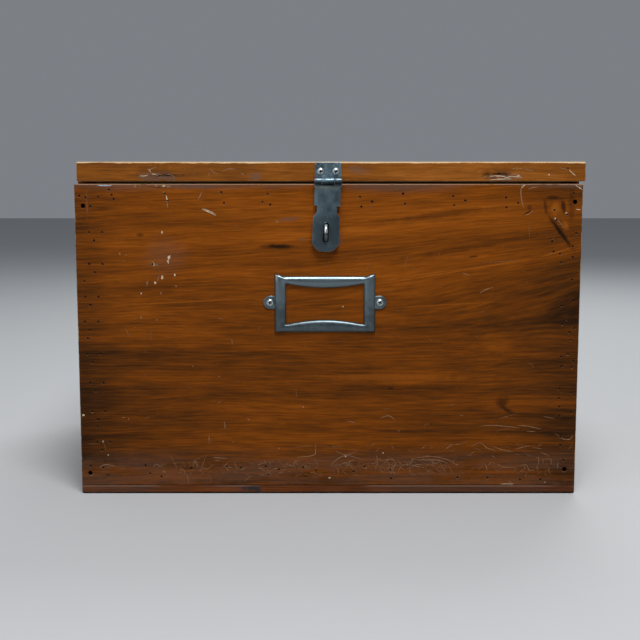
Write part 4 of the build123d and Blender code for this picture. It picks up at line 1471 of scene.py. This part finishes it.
class CHEST_OT_staple(Operator):
    """Bends the staple and finishes its plate"""

    bl_idname = "chest.staple"
    bl_label = "Staple"

    def execute(self, context):
        metal = context.scene.chest_metal
        low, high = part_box("staple_loop")

        # Painted highlight and shade: the staple's upper half lighter, its lower half darker.
        def painted_highlight_above(s):
            middle = (low.z + high.z) / 2
            return s.step(s.z, middle - 3 * MM, middle + 2 * MM, -1.2, 0.6)

        steel = metal_finish(
            "Staple steel", metal.screw, 0.28, 0.9, mottle=0.75, height=painted_highlight_above
        )
        x, radius = (low.x + high.x) / 2, (high.x - low.x) / 2
        nose, lower, upper = low.y + radius, low.z + radius, high.z - radius
        points = ((x, high.y, lower), (x, nose, lower), (x, nose, upper), (x, high.y, upper))
        wire = tube(points, radius, 5 * MM)
        new_piece("staple_wire", wire, "case", (steel,), ("staple_loop",), 60)
        # Painted shade: the plate behind the strap's slot is made near black.
        painted_slot_shade = shaded(metal.strap, 0.12)
        paint(metal_finish("Dirty plate steel", painted_slot_shade, 0.6, 0.4), "staple_plate")
        return {"FINISHED"}


class CHEST_OT_label_holder(Operator):
    """Builds the pressed label holder"""

    bl_idname = "chest.label_holder"
    bl_label = "Label holder"

    def execute(self, context):
        metal, holder = context.scene.chest_metal, context.scene.chest_holder
        low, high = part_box("label_holder")

        def painted_light_on_top_bar(s):
            """Painted light and shade: the top bar is lighter than the bottom one."""
            return s.step(s.z, low.z + 10 * MM, high.z - 10 * MM, -0.45, 0.60)

        steel = metal_finish(
            "Label holder steel", metal.holder, 0.33, 0.9, 0.30, height=painted_light_on_top_bar
        )
        bm = pressed_frame(holder)
        for side in (-1, 1):
            screw_ear(bm, holder, side)
        bmesh.ops.recalc_face_normals(bm, faces=bm.faces)
        seat = Matrix.Translation(((low.x + high.x) / 2, high.y, low.z + holder.height / 2))
        upright = Matrix.Rotation(radians(90), 4, "X")
        bmesh.ops.transform(bm, matrix=seat @ upright, verts=bm.verts)
        new_piece("label_holder_frame", bm, "case", (steel,), ("label_holder",), 50)
        return {"FINISHED"}


class CHEST_OT_screws(Operator):
    """Builds the cross-head screws of the hasp and the label holder"""

    bl_idname = "chest.screws"
    bl_label = "Screws"

    def execute(self, context):
        metal, screw = context.scene.chest_metal, context.scene.chest_screw
        bright = metal_finish("Screw steel", metal.screw, 0.34, 0.85, 0.35, 900.0)
        # Painted shade: the cross recess takes a near black finish.
        dirt = flat_finish("Screw recess", metal.recess, 0.7)
        head = cross_head(screw)
        inwards = Matrix.Rotation(radians(90), 4, "X")
        chance = Random(5)
        for node, name, body in (
            ("hasp_leaf_screws", "hasp_screw_heads", "lid"),
            ("label_holder_screws", "holder_screw_heads", "case"),
        ):
            bm = bmesh.new()
            for middle, half in islands(node):
                seat = Vector((middle.x, middle.y - half.y + screw.height, middle.z))
                turn = Matrix.Rotation(radians(chance.uniform(-25, 25)), 4, "Y")
                part = head.copy()
                part.transform(Matrix.Translation(seat) @ turn)
                bm.from_mesh(part)
                shank = seat + Vector((0, screw.shank_length / 2 - 0.05 * MM, 0))
                bmesh.ops.create_cone(
                    bm,
                    cap_ends=True,
                    segments=16,
                    radius1=screw.shank_radius,
                    radius2=screw.shank_radius,
                    depth=screw.shank_length,
                    matrix=Matrix.Translation(shank) @ inwards,
                )
            new_piece(name, bm, body, (bright, dirt), (node,), 40)
        return {"FINISHED"}


class CHEST_OT_hinges(Operator):
    """Finishes the butt hinges"""

    bl_idname = "chest.hinges"
    bl_label = "Hinges"

    def execute(self, context):
        metal = context.scene.chest_metal
        steel = metal_finish("Hinge steel", metal.leaf, 0.4, mottle=0.4)
        screw = metal_finish("Hinge screw steel", metal.screw, 0.35)
        for side in ("left", "right"):
            paint(steel, *[f"hinge_{side}_{part}" for part in ("case_leaf", "lid_leaf", "pin")])
        paint(screw, "hinge_case_screws", "hinge_lid_screws", "staple_screws")
        return {"FINISHED"}


# Each lamp's place, its size and its share of the key power
LIGHTS = {
    "Key": ((0.15, -1.15, 2.10), 1.0, 0.95),
    "Fill": ((-1.4, -1.6, 0.9), 1.2, 0.13),
    "Back": ((0.5, 1.5, 1.8), 1.4, 0.50),
}


class CHEST_OT_stage(Operator):
    """Sets the floor, the lights and the camera"""

    bl_idname = "chest.stage"
    bl_label = "Stage"

    def execute(self, context):
        scene, stage = context.scene, context.scene.chest_stage
        s = Shader("Pale floor")
        cloud = s.noise(s.place, 30.0, 3.0) * 0.12
        tint = s.mix(cloud, stage.floor_colour, shaded(stage.floor_colour, 0.8))
        bm = bmesh.new()
        bmesh.ops.create_grid(bm, x_segments=1, y_segments=1, size=8.0)
        floor = placed("floor", mesh_of("floor", bm))
        floor.data.materials.append(s.finish(tint, 0.85))

        world = bpy.data.worlds.new("Soft surround")
        world.use_nodes = True
        background = world.node_tree.nodes["Background"]
        background.inputs[0].default_value = (*stage.sky_colour, 1.0)
        background.inputs[1].default_value = stage.sky_strength
        scene.world = world

        for name, (place, size, share) in LIGHTS.items():
            light = bpy.data.lights.new(name, "AREA")
            light.shape = "DISK"
            light.size = size
            light.energy = stage.key_power * share
            lamp = placed(name, light)
            lamp.location = place
            aim = Vector((0, 0, 0.16)) - Vector(place)
            lamp.rotation_euler = aim.to_track_quat("-Z", "Y").to_euler()

        camera = placed("Camera", bpy.data.cameras.new("Camera"))
        camera.data.sensor_width = 36.0
        camera.data.lens = stage.lens
        camera.data.clip_start = 0.05
        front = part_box("front_panel")[0].y
        place = Matrix.Translation((stage.aside, front - stage.distance, stage.height))
        camera.matrix_world = place @ Matrix.Rotation(radians(90) - stage.pitch, 4, "X")
        scene.camera = camera
        scene.view_settings.view_transform = "Standard"
        return {"FINISHED"}


OPERATORS = (
    CHEST_OT_boards,
    CHEST_OT_wear,
    CHEST_OT_nails,
    CHEST_OT_hasp,
    CHEST_OT_staple,
    CHEST_OT_label_holder,
    CHEST_OT_screws,
    CHEST_OT_hinges,
    CHEST_OT_stage,
)


class CHEST_PT_panel(Panel):
    """Lists the sizes, the colours and the pieces of the chest"""

    bl_idname = "CHEST_PT_panel"
    bl_label = "File chest"
    bl_space_type = "VIEW_3D"
    bl_region_type = "UI"
    bl_category = "Chest"

    def draw(self, context):
        layout = self.layout
        for name, group in SETTINGS:
            box = layout.box()
            for value in group.__annotations__:
                box.prop(getattr(context.scene, name), value)
        for operator in OPERATORS:
            layout.operator(operator.bl_idname)


SETTINGS = (
    ("chest_stage", StageSettings),
    ("chest_wood", WoodSettings),
    ("chest_metal", MetalSettings),
    ("chest_holder", HolderSettings),
    ("chest_screw", ScrewSettings),
)


def register():
    for name, group in SETTINGS:
        bpy.utils.register_class(group)
        setattr(bpy.types.Scene, name, PointerProperty(type=group))
    for operator in OPERATORS:
        bpy.utils.register_class(operator)
    bpy.utils.register_class(CHEST_PT_panel)


def unregister():
    bpy.utils.unregister_class(CHEST_PT_panel)
    for operator in reversed(OPERATORS):
        bpy.utils.unregister_class(operator)
    for name, group in reversed(SETTINGS):
        delattr(bpy.types.Scene, name)
        bpy.utils.unregister_class(group)


def main():
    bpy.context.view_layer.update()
    register()
    for operator in OPERATORS:
        group, name = operator.bl_idname.split(".")
        getattr(getattr(bpy.ops, group), name)()


if __name__ == "__main__":
    main()
